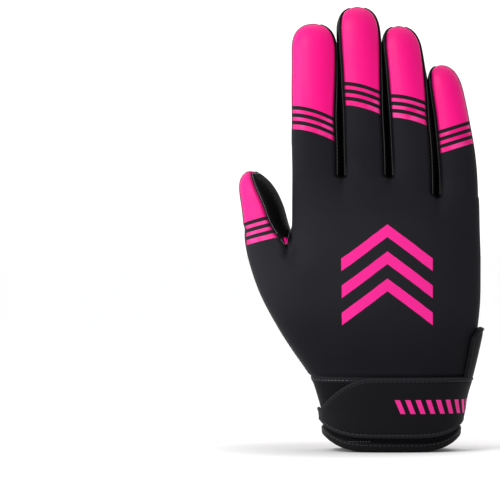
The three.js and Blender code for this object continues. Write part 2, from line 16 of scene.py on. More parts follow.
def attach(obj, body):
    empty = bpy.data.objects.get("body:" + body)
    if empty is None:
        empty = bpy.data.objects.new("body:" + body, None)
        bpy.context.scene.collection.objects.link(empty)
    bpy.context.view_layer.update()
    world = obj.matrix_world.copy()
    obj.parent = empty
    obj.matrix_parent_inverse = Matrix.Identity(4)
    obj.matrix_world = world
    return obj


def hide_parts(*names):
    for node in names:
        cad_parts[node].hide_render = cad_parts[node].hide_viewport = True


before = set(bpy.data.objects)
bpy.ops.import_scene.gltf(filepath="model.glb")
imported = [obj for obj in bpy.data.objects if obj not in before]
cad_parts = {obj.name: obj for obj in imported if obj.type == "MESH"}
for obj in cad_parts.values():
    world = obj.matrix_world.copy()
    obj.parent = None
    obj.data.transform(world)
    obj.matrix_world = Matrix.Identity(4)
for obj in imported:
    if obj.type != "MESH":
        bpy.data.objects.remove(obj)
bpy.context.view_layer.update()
MM = 0.001

# Cuff
CUFF_WIDTH, CUFF_DEPTH = 70, 46
CUFF_BACK_HEIGHT, CUFF_PALM_HEIGHT = 38, 16
THUMB_SEAM_RUN, LITTLE_SEAM_RUN = 17, 9
HEM_RISE, BINDING_HEIGHT = 8, 4.5

# Hand
FINGER_CROTCH, THUMB_CROTCH, LITTLE_DROP = 138.5, 111, 10
PALM_DEPTH, INDEX_OVERHANG = 28, 15.8
THENAR_BULGE, THENAR_ACROSS, THENAR_UP, THENAR_SPREAD = 4, 0.6, 0.62, 0.22
VALLEY_BELOW, VALLEY_ABOVE, WEB_RISE, THUMB_VALLEY, THUMB_WEB_DIP = 16, 10, 1, 24, 2.2
WEB_BACK_DROP, WEB_REACH, WEB_SLANT, DIP_POWER = 11, 13, 0.25, 1.5

# Thumb and fingers
THUMB_LENGTH, THUMB_WIDTH, THUMB_DEPTH, THUMB_FORWARD, THUMB_TURN = 31.5, 24.2, 21, 11, 52
FINGER_GAP, FINGER_CURL, TIP_LENGTH = 0.0, 9, 12.5
FINGERS = [
    {"length": 79.4, "width": 25.6, "depth": 19.5, "drop": 0, "taper": 0.12, "curl": 0.9},
    {"length": 87.8, "width": 24.1, "depth": 19.5, "drop": 0, "taper": 0.08, "curl": 1.1},
    {"length": 78.2, "width": 24.3, "depth": 19.5, "drop": 0, "taper": 0.19, "curl": 1.0},
    {"length": 68.0, "width": 20.9, "depth": 17.8, "drop": LITTLE_DROP, "taper": 0.2, "curl": 0.8},
]

# Roundness of the sections, and where a finger's back ends
HAND_POWER, FINGER_POWER, DOME_POWER, HEM_POWER = 2.5, 2.3, 2.4, 4.5
CORNER_INSET, CORNER_ANGLE, SEAM_ROLL = 2.6, 42, 4
TAPER_POWER, CURL_POWER, TIP_THINNING, LEVEL_SHARE = 1.5, 1.7, 0.12, 0.28
SHAFT_LEVEL_SHARE, TIP_WRAP = 0.32, 0.55
LEFT_WRAP_RATE, RIGHT_WRAP_RATE, RIGHT_WRAP_DELAY = 1.5, 1.25, 0.1

# Cloth and closure
BACK_WALL, PALM_WALL, GUSSET_WALL, CUFF_WALL = 1.2, 1.4, 1, 2
STRAP_THICKNESS, STRAP_CLEARANCE, STRAP_HEM_MARGIN, STRAP_TOP_MARGIN = 2.2, 0.5, 2.6, 0.6
STRAP_TAPER, STRAP_END_WIDTH, STRAP_END_LENGTH, STRAP_PAST_SIDE = 32, 7, 13, 4
STRAP_TAPER_POWER = 2
TAB_HEIGHT, TAB_WIDTH, TAB_THICKNESS, TAB_LIFT, TAB_ROUNDING = 24.2, 24, 2, 0.9, 0.25

# Resolution
BLOCK_COLUMNS, SIDE_COLUMNS, SMOOTHING, SHARP_ANGLE = 8, 6, 2, 55

# Sections of the hand and the thumb, as shares of the sizes above
HAND_SECTIONS = {
    "up": [0, 0.13, 0.20, 0.27, 0.36, 0.45, 0.58, 0.70, 0.80, 1],
    "thumb_side": [0, 0.01, 0.07, 0.16, 0.37, 0.57, 0.81, 0.95, 1, 1],
    "little_side": [0, 0, 0.13, 0.44, 0.75, 0.97, 1.15, 1.17, 1.12, 1],
    "back": [0, 0.04, 0.10, 0.18, 0.36, 0.52, 0.68, 0.78, 0.85, 1],
    "palm": [0, 0.02, 0.05, 0.10, 0.20, 0.32, 0.52, 0.80, 0.95, 1.10],
    "bow": [0, 0, 0, 0.02, 0.10, 0.25, 0.55, 0.85, 1, 1],
}
THUMB_SECTIONS = {
    "up": [0.10, 0.25, 0.42, 0.58, 0.72, 0.85, 0.95],
    "across": [-0.035, -0.07, -0.11, -0.17, -0.23, -0.29, -0.33],
    "forward": [0.26, 0.29, 0.34, 0.38, 0.42, 0.45, 0.47],
    "width": [0.97, 0.93, 0.90, 0.84, 0.75, 0.59, 0.35],
    "depth": [1.00, 0.99, 0.96, 0.91, 0.83, 0.68, 0.45],
    "turn": [0.7, 0.80, 0.88, 0.95, 1, 1, 1],
}
PIECES = ["back_panel", "palm_panel", "gusset_index_middle", "gusset_middle_ring",
          "gusset_ring_little", "gusset_thumb", "wrist_cuff"]
BACK, PALM, THUMB_GUSSET, CUFF = 0, 1, 5, 6
FINGER_GUSSETS = (2, 3, 4)


def mix(a, b, share):
    return a + (b - a) * share


def clamp(t):
    return min(1.0, max(0.0, t))


def smooth(t):
    return clamp(t) ** 2 * (3 - 2 * clamp(t))


def curve(keys, values):
    """A smooth curve that passes through values at keys."""
    last = len(keys) - 1

    def slope(i):
        a, b = max(0, i - 1), min(last, i + 1)
        return (values[b] - values[a]) / (keys[b] - keys[a])

    def at(key):
        i = max([k for k in range(last) if keys[k] <= key], default=0)
        span = keys[i + 1] - keys[i]
        t = clamp((key - keys[i]) / span)
        turn = slope(i) * t * (1 - t) ** 2 - slope(i + 1) * t * t * (1 - t)
        return mix(values[i], values[i + 1], t * t * (3 - 2 * t)) + span * turn

    return at


def curves(table):
    return {name: curve(table["up"], column) for name, column in table.items()}


section, thumb_section = curves(HAND_SECTIONS), curves(THUMB_SECTIONS)


def unit_point(angle, power):
    c, s = math.cos(angle), math.sin(angle)
    return (math.copysign(abs(c) ** (2 / power), c), math.copysign(abs(s) ** (2 / power), s))


def roundness(reach, power):
    return (1 - min(1, abs(reach)) ** power) ** (1 / power)


column_angles = [math.radians(mix(180 - CORNER_ANGLE, CORNER_ANGLE, k / BLOCK_COLUMNS) + SEAM_ROLL)
                 for k in range(BLOCK_COLUMNS + 1)]
reaches = [unit_point(angle, FINGER_POWER)[0] for angle in column_angles]
block_shares = [(r - reaches[0]) / (reaches[-1] - reaches[0]) for r in reaches]

index_side = -CUFF_WIDTH / 2 - INDEX_OVERHANG
thumb_side = index_side - THUMB_WIDTH
thumb_gap = index_side - FINGER_GAP / 2


def crotch_of(f):
    return FINGER_CROTCH - FINGERS[f]["drop"]


def finger_width(f, z):
    along = clamp((z - crotch_of(f)) / FINGERS[f]["length"])
    return FINGERS[f]["width"] * (1 - FINGERS[f]["taper"] * along ** TAPER_POWER)


def finger_edges(f, z):
    left = index_side + sum(finger_width(k, z) + FINGER_GAP for k in range(f))
    return left, left + finger_width(f, z)


crotch_x = [finger_edges(f, crotch_of(f))[0] - FINGER_GAP / 2 for f in (1, 2, 3)]
border_z = [min(crotch_of(max(0, k - 1)), crotch_of(min(3, k))) for k in range(5)]
little_side = finger_edges(3, crotch_of(3))[1]


def hand_edges(z, with_thumb=True):
    up = z / FINGER_CROTCH
    left = mix(-CUFF_WIDTH / 2, thumb_side, section["thumb_side"](up)) if with_thumb else index_side
    return left, mix(CUFF_WIDTH / 2, little_side, section["little_side"](up))


def block_borders(z, with_thumb):
    left, right = hand_edges(z, with_thumb)
    if not with_thumb:
        return [None, left + CORNER_INSET, *crotch_x, right - CORNER_INSET]
    top = hand_edges(THUMB_CROTCH)
    low, high = top[0] + CORNER_INSET, top[1] - CORNER_INSET
    shares = [0] + [(x - low) / (high - low) for x in [thumb_gap, *crotch_x]] + [1]
    return [mix(left + CORNER_INSET, right - CORNER_INSET, share) for share in shares]


def crotch_height(block, share):
    return mix(border_z[block - 1], border_z[block], share)


def middle_y(x, z, with_thumb=True):
    if not with_thumb:
        return 0
    border, left = block_borders(z, True)[1], hand_edges(z)[0]
    outward = clamp((border - x) / (border - left))
    return THUMB_FORWARD * section["bow"](z / FINGER_CROTCH) * outward ** 2


def hand_depth(face, z):
    return mix(CUFF_DEPTH, PALM_DEPTH, section[face](z / FINGER_CROTCH))


def thenar_pad(x, z):
    across = (x - thumb_side * THENAR_ACROSS) / THUMB_WIDTH
    up = (z / THUMB_CROTCH - THENAR_UP) / THENAR_SPREAD
    return THENAR_BULGE * math.exp(-across ** 2 - up ** 2)


def half_depth(face, x, z, with_thumb, block, column):
    """Distance from the middle surface to the outside, at a column of a block."""
    def profile(edges, at):
        reach = (2 * at - edges[0] - edges[1]) / (edges[1] - edges[0])
        return hand_depth(face, z) / 2 * roundness(reach, HAND_POWER)

    finger_shape = unit_point(column_angles[column], FINGER_POWER)[1]
    bare = hand_edges(z, False)
    half = profile(bare, max(x, bare[0] + CORNER_INSET))
    if with_thumb:
        beside = THUMB_DEPTH / 2 * finger_shape if block == 0 else half
        near_thumb = smooth(1 + (z - THUMB_CROTCH) / THUMB_VALLEY)
        half = mix(profile(hand_edges(z), x), beside, near_thumb)
        if face == "palm":
            half += thenar_pad(x, z)
    if block == 0:
        return half
    past = z - crotch_height(block, block_shares[column]) + VALLEY_BELOW
    near_fingers = smooth(past / (VALLEY_BELOW + VALLEY_ABOVE))
    return mix(half, FINGERS[block - 1]["depth"] / 2 * finger_shape, near_fingers)


# The outside of the glove is one net of quads, in rings around the hand and each finger.
# Each of its points also has a place in the cloth: millimetres across and up it.
points, cloth, faces, face_pieces = [], [], [], []


def add_point(x, y, z, across=None, up=None):
    points.append((x, y, z))
    cloth.append([x if across is None else across, z if up is None else up])
    return len(points) - 1


def xyz(point):
    return np.array(points[point])


def add_face(piece, *corners):
    faces.append(corners)
    face_pieces.append(piece)


def side_line(ring, side):
    """A ring's points round one side, with the ends of its back and its palm."""
    end = 0 if side == "left" else -1
    return [ring["back"][end], *ring[side], ring["palm"][end]]


def join_rings(lower, upper, pieces):
    """Joins two rings. pieces gives those of the back, palm, left side and right side."""
    for k in range(len(lower["back"]) - 1):
        a, b = lower["back"], upper["back"]
        add_face(pieces["back"], a[k], a[k + 1], b[k + 1], b[k])
        a, b = lower["palm"], upper["palm"]
        add_face(pieces["palm"], a[k + 1], a[k], b[k], b[k + 1])
    for side, turned in (("right", False), ("left", True)):
        a, b = side_line(lower, side), side_line(upper, side)
        for k in range(SIDE_COLUMNS):
            piece = pieces[side][0 if k < SIDE_COLUMNS / 2 else 1]
            corners = (a[k], a[k + 1], b[k + 1], b[k])
            add_face(piece, *(corners[::-1] if turned else corners))


def lay_cloth(ring, blocks):
    """Spreads a ring's places across the cloth evenly along its outside."""
    for face in ("back", "palm"):
        ids = ring[face]
        found = {}
        for b in range(blocks):
            part = ids[b * BLOCK_COLUMNS:(b + 1) * BLOCK_COLUMNS + 1]
            steps = [0.0]
            for p, q in zip(part, part[1:]):
                steps.append(steps[-1] + math.dist(points[p], points[q]))
            middle = BLOCK_COLUMNS // 2
            for p, s in zip(part, steps):
                found.setdefault(p, []).append(points[part[middle]][0] + s - steps[middle])
        for p, places in found.items():
            cloth[p][0] = sum(places) / len(places)
    for side, sign in (("left", -1), ("right", 1)):
        line = side_line(ring, side)
        half = len(line) // 2
        for walk in (line[:half + 1], line[::-1][:half]):
            for p, q in zip(walk, walk[1:]):
                cloth[q][0] = cloth[p][0] + sign * math.dist(points[p], points[q])


def side_points(side, back_id, palm_id, edge, z):
    """The points between a ring's back and palm corners, round its side."""
    corner_angle = CORNER_ANGLE + (SEAM_ROLL if side == "right" else -SEAM_ROLL)
    u_corner, v_corner = unit_point(math.radians(corner_angle), FINGER_POWER)
    ids = []
    for j in range(1, SIDE_COLUMNS):
        angle = math.radians(mix(corner_angle, -corner_angle, j / SIDE_COLUMNS))
        u, v = unit_point(angle, FINGER_POWER)
        corner = points[back_id if v > 0 else palm_id]
        outward, rise = (u - u_corner) / (1 - u_corner), abs(v) / v_corner
        x = mix(corner[0], edge[0], outward)
        ids.append(add_point(x, mix(edge[1], corner[1], rise), mix(z, corner[2], rise)))
    return ids


def across_place(z, with_thumb, block, share):
    left, right = hand_edges(z, with_thumb)
    borders = block_borders(z, with_thumb)
    x = mix(borders[block], borders[block + 1], share)
    return {"reach": (2 * x - left - right) / (right - left), "from_left": x - left,
            "from_right": right - x, "from_web": x - borders[1]}


def hand_ring(with_thumb, height_at, rough_height, dip=0.0):
    first = 0 if with_thumb else 1
    ring = {"back": [], "palm": []}
    for face in ("back", "palm"):
        for block in range(first, 5):
            for k, share in enumerate(block_shares):
                if k == 0 and block > first:
                    continue
                place = across_place(rough_height, with_thumb, block, share)
                lower = 0
                if face == "back":
                    lower = dip * WEB_BACK_DROP * math.exp(-(place["from_web"] / WEB_REACH) ** 2)
                z = height_at(face, block, share, place) - lower
                borders = block_borders(z, with_thumb)
                x = mix(borders[block], borders[block + 1], share)
                x -= WEB_SLANT * lower if with_thumb else 0
                half = half_depth(face, x, z, with_thumb, block, k)
                if k == BLOCK_COLUMNS and block < 4:
                    half = (half + half_depth(face, x, z, with_thumb, block + 1, 0)) / 2
                y = middle_y(x, z, with_thumb) + (-half if face == "back" else half)
                ring[face].append(add_point(x, y, z))
    for side, end in (("left", 0), ("right", -1)):
        at_side = {"reach": end * 2 + 1, "from_left": 0, "from_right": 0}
        z = height_at(side, None, None, at_side)
        x = hand_edges(z, with_thumb)[end]
        edge = (x, middle_y(x, z, with_thumb))
        ring[side] = side_points(side, ring["back"][end], ring["palm"][end], edge, z)
    lay_cloth(ring, 5 - first)
    return ring


def hem_height(reach):
    return HEM_RISE * abs(reach) ** HEM_POWER


def seam_height(face, place):
    if face != "palm":
        return CUFF_BACK_HEIGHT
    slant = min(place["from_left"] / THUMB_SEAM_RUN, place["from_right"] / LITTLE_SEAM_RUN)
    return mix(CUFF_BACK_HEIGHT, CUFF_PALM_HEIGHT, smooth(slant))


def everywhere(piece):
    return {"back": piece, "palm": piece, "left": (piece, piece), "right": (piece, piece)}


body_pieces = {"back": BACK, "palm": PALM, "left": (BACK, PALM), "right": (BACK, PALM)}

CUFF_ROWS, BLEND_ROWS, HAND_ROWS, KNUCKLE_ROWS = 8, 7, 13, 7
NET_START = 0.6 * BINDING_HEIGHT
level_height = mix(CUFF_BACK_HEIGHT, THUMB_CROTCH, LEVEL_SHARE)


def climb(ring, rings, pieces):
    """Joins rings to a ring one above another, and returns the last."""
    for above in rings:
        if ring:
            join_rings(ring, above, pieces)
        ring = above
    return ring


def body_ring(bottom, top, share, rough_height, dip=0.0):
    """A ring round hand and thumb, a share of the way from one line round them to another."""
    def height_at(face, block, s, place):
        return mix(bottom(face, place), top(face, place), share)

    return hand_ring(True, height_at, rough_height, dip)


def at_hem(face, place):
    return hem_height(place["reach"]) + NET_START


def at_level(face, place):
    return level_height


def at_crotch(face, place):
    return THUMB_CROTCH


# Cuff, and the hand up to the thumb's crotch
ring = climb(None, [body_ring(at_hem, seam_height, row / CUFF_ROWS, 0)
                    for row in range(CUFF_ROWS + 1)], everywhere(CUFF))
ring = climb(ring, [body_ring(seam_height, at_level, row / BLEND_ROWS, CUFF_BACK_HEIGHT)
                    for row in range(1, BLEND_ROWS + 1)], body_pieces)
hand_shares = [row / HAND_ROWS for row in range(1, HAND_ROWS + 1)]
thumb_crotch_ring = climb(ring, [
    body_ring(at_level, at_crotch, share, mix(level_height, THUMB_CROTCH, share), share ** DIP_POWER)
    for share in hand_shares], body_pieces)


def split(source, start, stop):
    return {face: source[face][start * BLOCK_COLUMNS:stop * BLOCK_COLUMNS + 1]
            for face in ("back", "palm")}


def web(source, column, x, z):
    """The points of a crotch that passes through x and z, between a ring's back and its palm."""
    back, palm = xyz(source["back"][column]), xyz(source["palm"][column])
    middle = np.array((x, (back[1] + palm[1]) / 2, z))
    ids = []
    for j in range(1, SIDE_COLUMNS):
        t = j / SIDE_COLUMNS
        at = back * (1 - t) * (1 - 2 * t) + middle * 4 * t * (1 - t) + palm * t * (2 * t - 1)
        ids.append(add_point(*at))
    return ids


thumb_web = web(thumb_crotch_ring, BLOCK_COLUMNS, thumb_gap, THUMB_CROTCH - THUMB_WEB_DIP)


def knuckle_ring(share):
    def height_at(face, block, s, place):
        side = border_z[0] if face == "left" else border_z[-1]
        return mix(THUMB_CROTCH, side if block is None else crotch_height(block, s), share)

    return hand_ring(False, height_at, FINGER_CROTCH, 1 - share)


# Hand from the thumb's crotch to the fingers'
ring = {**split(thumb_crotch_ring, 1, 5), "left": thumb_web, "right": thumb_crotch_ring["right"]}
finger_crotch_ring = climb(ring, [knuckle_ring(row / KNUCKLE_ROWS)
                                  for row in range(1, KNUCKLE_ROWS + 1)], body_pieces)


def round_ring(place, wraps=(0, 0)):
    """A ring round a finger. wraps are how far its back reaches round its left and right sides."""
    first = mix(column_angles[0], math.pi, wraps[0])
    last = mix(column_angles[-1], 0, wraps[1])
    back = [mix(first, last, k / BLOCK_COLUMNS) for k in range(BLOCK_COLUMNS + 1)]
    ring = {"back": [place(angle, k) for k, angle in enumerate(back)],
            "palm": [place(-angle, k) for k, angle in enumerate(column_angles)]}
    for side, column, start, stop in (
            ("right", BLOCK_COLUMNS, last, -column_angles[-1]),
            ("left", 0, first, 2 * math.pi - column_angles[0])):
        ring[side] = [place(mix(start, stop, j / SIDE_COLUMNS), column)
                      for j in range(1, SIDE_COLUMNS)]
    lay_cloth(ring, 1)
    return ring


def close_tip(ring, pieces, rise):
    """Closes a finger's last ring with a patch of quads, raised in its middle."""
    at = {}
    for k in range(BLOCK_COLUMNS + 1):
        at[k, 0], at[k, SIDE_COLUMNS] = ring["back"][k], ring["palm"][k]
    for j in range(1, SIDE_COLUMNS):
        at[0, j], at[BLOCK_COLUMNS, j] = ring["left"][j - 1], ring["right"][j - 1]
    for k in range(1, BLOCK_COLUMNS):
        for j in range(1, SIDE_COLUMNS):
            u, v = k / BLOCK_COLUMNS, j / SIDE_COLUMNS
            edges = (mix(xyz(at[k, 0]), xyz(at[k, SIDE_COLUMNS]), v)
                     + mix(xyz(at[0, j]), xyz(at[BLOCK_COLUMNS, j]), u))
            corners = mix(*(mix(xyz(at[0, row]), xyz(at[BLOCK_COLUMNS, row]), u)
                            for row in (0, SIDE_COLUMNS)), v)
            x, y, z = edges - corners
            z += rise * math.sqrt((1 - (2 * u - 1) ** 2) * (1 - (2 * v - 1) ** 2))
            near = cloth[ring["back"][k]]
            at[k, j] = add_point(x, y, z, near[0], near[1] + TIP_CLOTH * min(v, 1 - v))
    for k in range(BLOCK_COLUMNS):
        for j in range(SIDE_COLUMNS):
            piece = pieces["back" if j < SIDE_COLUMNS // 2 else "palm"]
            add_face(piece, at[k, j], at[k + 1, j], at[k + 1, j + 1], at[k, j + 1])


# Thumb. The last ring's width and depth, as shares, are smaller than its curves would give.
THUMB_RINGS = [0.10, 0.17, 0.25, 0.33, 0.42, 0.50, 0.58, 0.65, 0.72, 0.785, 0.85, 0.90, 0.95, 0.975]
THUMB_END = {"width": 0.25, "depth": 0.32}
THUMB_TIP_RISE, TIP_CLOTH = 0.6, 6


def thumb_ring(up):
    size = {name: column(up) for name, column in thumb_section.items()}
    if up == THUMB_RINGS[-1]:
        size.update(THUMB_END)
    turn = math.radians(size["turn"] * THUMB_TURN)
    x0 = (index_side + thumb_side) / 2 + size["across"] * THUMB_WIDTH
    y0 = size["forward"] * THUMB_WIDTH

    def place(angle, column):
        u, v = unit_point(angle, FINGER_POWER)
        across, outward = u * size["width"] * THUMB_WIDTH / 2, v * size["depth"] * THUMB_DEPTH / 2
        return add_point(x0 + across * math.cos(turn) - outward * math.sin(turn),
                         y0 - across * math.sin(turn) - outward * math.cos(turn),
                         THUMB_CROTCH + up * THUMB_LENGTH)

    return round_ring(place)


ring = {**split(thumb_crotch_ring, 0, 1), "left": thumb_crotch_ring["left"], "right": thumb_web}
thumb_pieces = {**body_pieces, "right": (THUMB_GUSSET, THUMB_GUSSET)}
ring = climb(ring, [thumb_ring(up) for up in THUMB_RINGS], thumb_pieces)
close_tip(ring, thumb_pieces, THUMB_TIP_RISE)

# Fingers
SHAFT_SHARES = [0.007, 0.04, 0.08, 0.13, 0.19, 0.25, 0.32, 0.39, 0.46, 0.53, 0.6, 0.67, 0.74, 0.81,
                0.88, 0.94, 1]
DOME_ANGLES = [14, 28, 41, 53, 64, 74, 82]
shaft_tops = [crotch_of(f) + finger["length"] - TIP_LENGTH for f, finger in enumerate(FINGERS)]
levelled = [mix(crotch_of(f), top, SHAFT_LEVEL_SHARE) for f, top in enumerate(shaft_tops)]


def finger_ring(f, height, narrowing=1.0):
    finger = FINGERS[f]

    def place(angle, column):
        z = height(block_shares[column])
        along = clamp((z - crotch_of(f)) / finger["length"])
        left, right = finger_edges(f, z)
        u, v = unit_point(angle, FINGER_POWER)
        half = finger["depth"] / 2 * (1 - TIP_THINNING * along) * narrowing
        x = (left + right) / 2 + u * (right - left) / 2 * narrowing
        if z < crotch_height(f + 1, block_shares[column]) + VALLEY_ABOVE:
            knuckle = half_depth("back" if v > 0 else "palm", x, z, False, f + 1, column)
            shape = unit_point(column_angles[column], FINGER_POWER)[1]
            half *= knuckle / (finger["depth"] / 2 * shape)
        bend = FINGER_CURL * finger["curl"] * along ** CURL_POWER
        return add_point(x, bend - v * half, z)

    near_tip = (height(0.5) - levelled[f]) / (finger["length"] + crotch_of(f) - levelled[f])
    left_wrap = TIP_WRAP * smooth(LEFT_WRAP_RATE * (1 - narrowing ** 2))
    right_wrap = TIP_WRAP * smooth(RIGHT_WRAP_RATE * near_tip - RIGHT_WRAP_DELAY)
    return round_ring(place, (left_wrap if f > 0 else 0, right_wrap if f < 3 else 0))


def shaft_ring(f, share):
    """A ring of a finger. The first ones still follow the slope of its crotches."""
    def height(across):
        if share >= SHAFT_LEVEL_SHARE:
            return mix(crotch_of(f), shaft_tops[f], share)
        return mix(crotch_height(f + 1, across), levelled[f], share / SHAFT_LEVEL_SHARE)

    return finger_ring(f, height)


def dome_ring(f, angle):
    up = math.sin(math.radians(angle))
    ring = finger_ring(f, lambda across: shaft_tops[f] + TIP_LENGTH * up, roundness(up, DOME_POWER))
    for point in sum(ring.values(), []):
        cloth[point][1] = shaft_tops[f] + TIP_LENGTH * math.radians(angle)
    return ring


webs = [finger_crotch_ring["left"],
        *[web(finger_crotch_ring, b * BLOCK_COLUMNS, crotch_x[b - 1], border_z[b] + WEB_RISE)
          for b in (1, 2, 3)],
        finger_crotch_ring["right"]]
tip_rise = TIP_LENGTH * (1 - math.sin(math.radians(DOME_ANGLES[-1])))
for f in range(4):
    pieces = {"back": BACK, "palm": PALM,
              "left": (BACK, PALM) if f == 0 else (f + 1, f + 1),
              "right": (BACK, PALM) if f == 3 else (f + 2, f + 2)}
    ring = {**split(finger_crotch_ring, f, f + 1), "left": webs[f], "right": webs[f + 1]}
    ring = climb(ring, [shaft_ring(f, share) for share in SHAFT_SHARES]
                 + [dome_ring(f, angle) for angle in DOME_ANGLES], pieces)
    close_tip(ring, pieces, tip_rise)


def add_object(name, data):
    made = bpy.data.objects.new(name, data)
    bpy.context.scene.collection.objects.link(made)
    return made


def set_numbers(mesh, key, numbers):
    """Gives each point of a mesh its number or its pair of numbers."""
    numbers = np.asarray(numbers, np.float32)
    if numbers.ndim == 1:
        mesh.attributes.new(key, "FLOAT", "POINT").data.foreach_set("value", numbers)
    else:
        vectors = np.column_stack([numbers, np.zeros(len(numbers))]).astype(np.float32)
        mesh.attributes.new(key, "FLOAT_VECTOR", "POINT").data.foreach_set("vector", vectors.ravel())


def read_all(data, key, count, kind=np.float32):
    values = np.zeros(count, kind)
    data.foreach_get(key, values)
    return values


def smoothed_net():
    """The net after its subdivision: points, normals, cloth places, faces and their pieces."""
    mesh = bpy.data.meshes.new("net")
    mesh.from_pydata(points, [], faces)
    set_numbers(mesh, "cloth", cloth)
    mesh.attributes.new("piece", "INT", "FACE").data.foreach_set("value", face_pieces)
    net = add_object("net", mesh)
    modifier = net.modifiers.new("smooth", "SUBSURF")
    modifier.levels = SMOOTHING
    done = net.evaluated_get(bpy.context.evaluated_depsgraph_get()).data
    count = len(done.vertices) * 3
    at, out = read_all(done.vertices, "co", count), read_all(done.vertex_normals, "vector", count)
    place = read_all(done.attributes["cloth"].data, "vector", count)
    corners = read_all(done.loops, "vertex_index", len(done.loops), np.int32)
    piece = read_all(done.attributes["piece"].data, "value", len(done.polygons), np.int32)
    bpy.data.objects.remove(net)
    bpy.data.meshes.remove(mesh)
    return (at.reshape(-1, 3).astype(float), out.reshape(-1, 3).astype(float),
            place.reshape(-1, 3)[:, :2], corners.reshape(-1, 4).astype(np.int64), piece)


at, out, place, quads, piece_of = smoothed_net()


def edge_keys(these):
    """Each face's edges in order, as one number each."""
    return (these * len(at) + np.roll(these, -1, axis=1)).ravel()


def turned(keys):
    return (keys % len(at)) * len(at) + keys // len(at)


# An edge is on a seam where the same edge, turned round, belongs to a face of another piece
all_keys, key_piece = edge_keys(quads), np.repeat(piece_of, 4)
order = np.argsort(all_keys)
found = order[np.searchsorted(all_keys[order], turned(all_keys)).clip(max=len(all_keys) - 1)]
is_seam = (all_keys[found] == turned(all_keys)) & (key_piece[found] != key_piece)


def seam_spots(chosen):
    """Points spaced closely along the seams' edges."""
    a, b = at[all_keys[chosen] // len(at)], at[all_keys[chosen] % len(at)]
    return np.concatenate([a + (b - a) * t for t in (0.0, 0.25, 0.5, 0.75)])


def distance_to(spots, these):
    tree = KDTree(len(spots))
    for k, spot in enumerate(spots):
        tree.insert(spot, k)
    tree.balance()
    return np.array([tree.find(p)[2] for p in these])


def ridge(distance, height, middle, width):
    """The height of a rounded ridge at a distance from its seam or edge."""
    return height * np.exp(-((distance - middle) / width) ** 2)


seam = distance_to(seam_spots(is_seam), at)

# Stitching draws each seam in, and the folded edges beside it stand up. Each ridge or dip has
# its height, its distance from the seam and its width.
SEAM_DIP, SEAM_LIP, STRIP_CORD = (-0.5, 0, 0.75), (0.22, 2.1, 1.0), (0.2, 1.2, 0.45)
STRIP_FULLNESS, FULL_FROM, FULL_OVER, FULL_TOP, FULL_FADE = 0.4, 1.6, 2, 203, 20
relief = ridge(seam, *SEAM_LIP) + ridge(seam, *SEAM_DIP)
x, y, z = at.T
point_piece = np.zeros(len(at), int)
point_piece[quads] = piece_of[:, None]
# The strips between the fingers have a corded edge and touch in their middles
between = np.isin(point_piece, FINGER_GUSSETS)
full = np.clip((seam - FULL_FROM) / FULL_OVER, 0, 1) * np.clip((FULL_TOP - z) / FULL_FADE, 0, 1)
relief += between * (ridge(seam, *STRIP_CORD) + STRIP_FULLNESS * full)
# Folds, each on a piece from one spot across and up to another, with its depth and width
FOLDS = [
    (BACK, (-52.3, 109), (-54.8, 97), 1.8, 1.6),
    (BACK, (-25.8, 138.2), (-26.8, 135), 0.4, 0.6), (BACK, (-25.2, 138.2), (-24.2, 134.6), 0.4, 0.6),
    (BACK, (-1.7, 138.2), (-2.8, 135), 0.4, 0.6), (BACK, (-1.2, 138.2), (-0.1, 134.8), 0.4, 0.6),
    (BACK, (22.6, 128.4), (21.6, 125.2), 0.4, 0.6), (BACK, (23.1, 128.4), (24.1, 125), 0.4, 0.6),
    (PALM, (-50, 108), (-37, 93), 0.9, 1.7), (PALM, (-51, 103), (-43, 84), 0.7, 1.6),
    (PALM, (-33, 121), (-17, 113), 0.45, 1.8), (PALM, (12, 116), (30, 119), 0.45, 1.8),
    (PALM, (-47, 76), (-33, 62), 0.4, 2), (PALM, (-24, 160), (-12, 160.5), 0.4, 1.6),
    (PALM, (0, 158), (14, 158.5), 0.4, 1.6), (PALM, (-48, 160), (-32, 161), 0.4, 1.6),
    (PALM, (27, 147), (42, 147.5), 0.4, 1.5),
]
LIP_SHARE = 0.4
# How deep each point lies in a crease, used only for painted shade in the back's folds
fold_shade = np.zeros(len(at))
for number, (x0, z0), (x1, z1), deep, wide in FOLDS:
    reach = (x1 - x0) ** 2 + (z1 - z0) ** 2
    t = np.clip(((x - x0) * (x1 - x0) + (z - z0) * (z1 - z0)) / reach, 0, 1)
    aside = np.hypot(x - mix(x0, x1, t), z - mix(z0, z1, t))
    crease, lip = ridge(aside, 1, 0, wide), ridge(aside, LIP_SHARE, 2 * wide, wide)
    own = point_piece == number
    relief -= own * deep * (1 - t) * (crease - lip)
    fold_shade = np.maximum(fold_shade, own * crease * (1 - t) ** 0.5 * min(1, deep))
# Slow waves, as worn cloth has
WAVINESS = 0.16
relief += WAVINESS * (np.sin(0.11 * x + 0.5 * np.sin(0.05 * z)) * np.sin(0.07 * z + 0.09 * y + 1.3)
                      + 0.6 * np.sin(0.19 * z + 0.13 * x + 0.7) * np.sin(0.12 * x - 0.05 * z))
shaped = at + out * relief[:, None]

# How far each point of the back lies below the end of its fingertip's solid print. An end runs
# from a spot of the photograph on its left to one on its right, with how much it bends.
PIXEL, MIDDLE_PIXEL, GROUND_PIXEL = 0.51, 391.3, 450
PRINT_ENDS = [((292, 106), (331.6, 117), 1.8), ((343, 82), (379, 91), 1.8),
              ((391, 94.4), (423.7, 101.6), 1.8), ((437.5, 131), (466, 122), 1.0),
              ((244, 223), (267, 216), 0.8)]
FAR_BELOW, PRINT_SCALE, PAST_ENDS = 60.0, 0.97, 0.3
THUMB_PRINT_FROM, THUMB_PRINT_ASIDE, FINGER_PRINT_FROM = 96, 1.8, 3
TRACED_HEIGHTS = (120, 150, 180, 230)


def seen(px, py):
    """The place across and up that a spot of the photograph stands for."""
    return (px - MIDDLE_PIXEL) * PIXEL, (GROUND_PIXEL - py) * PIXEL


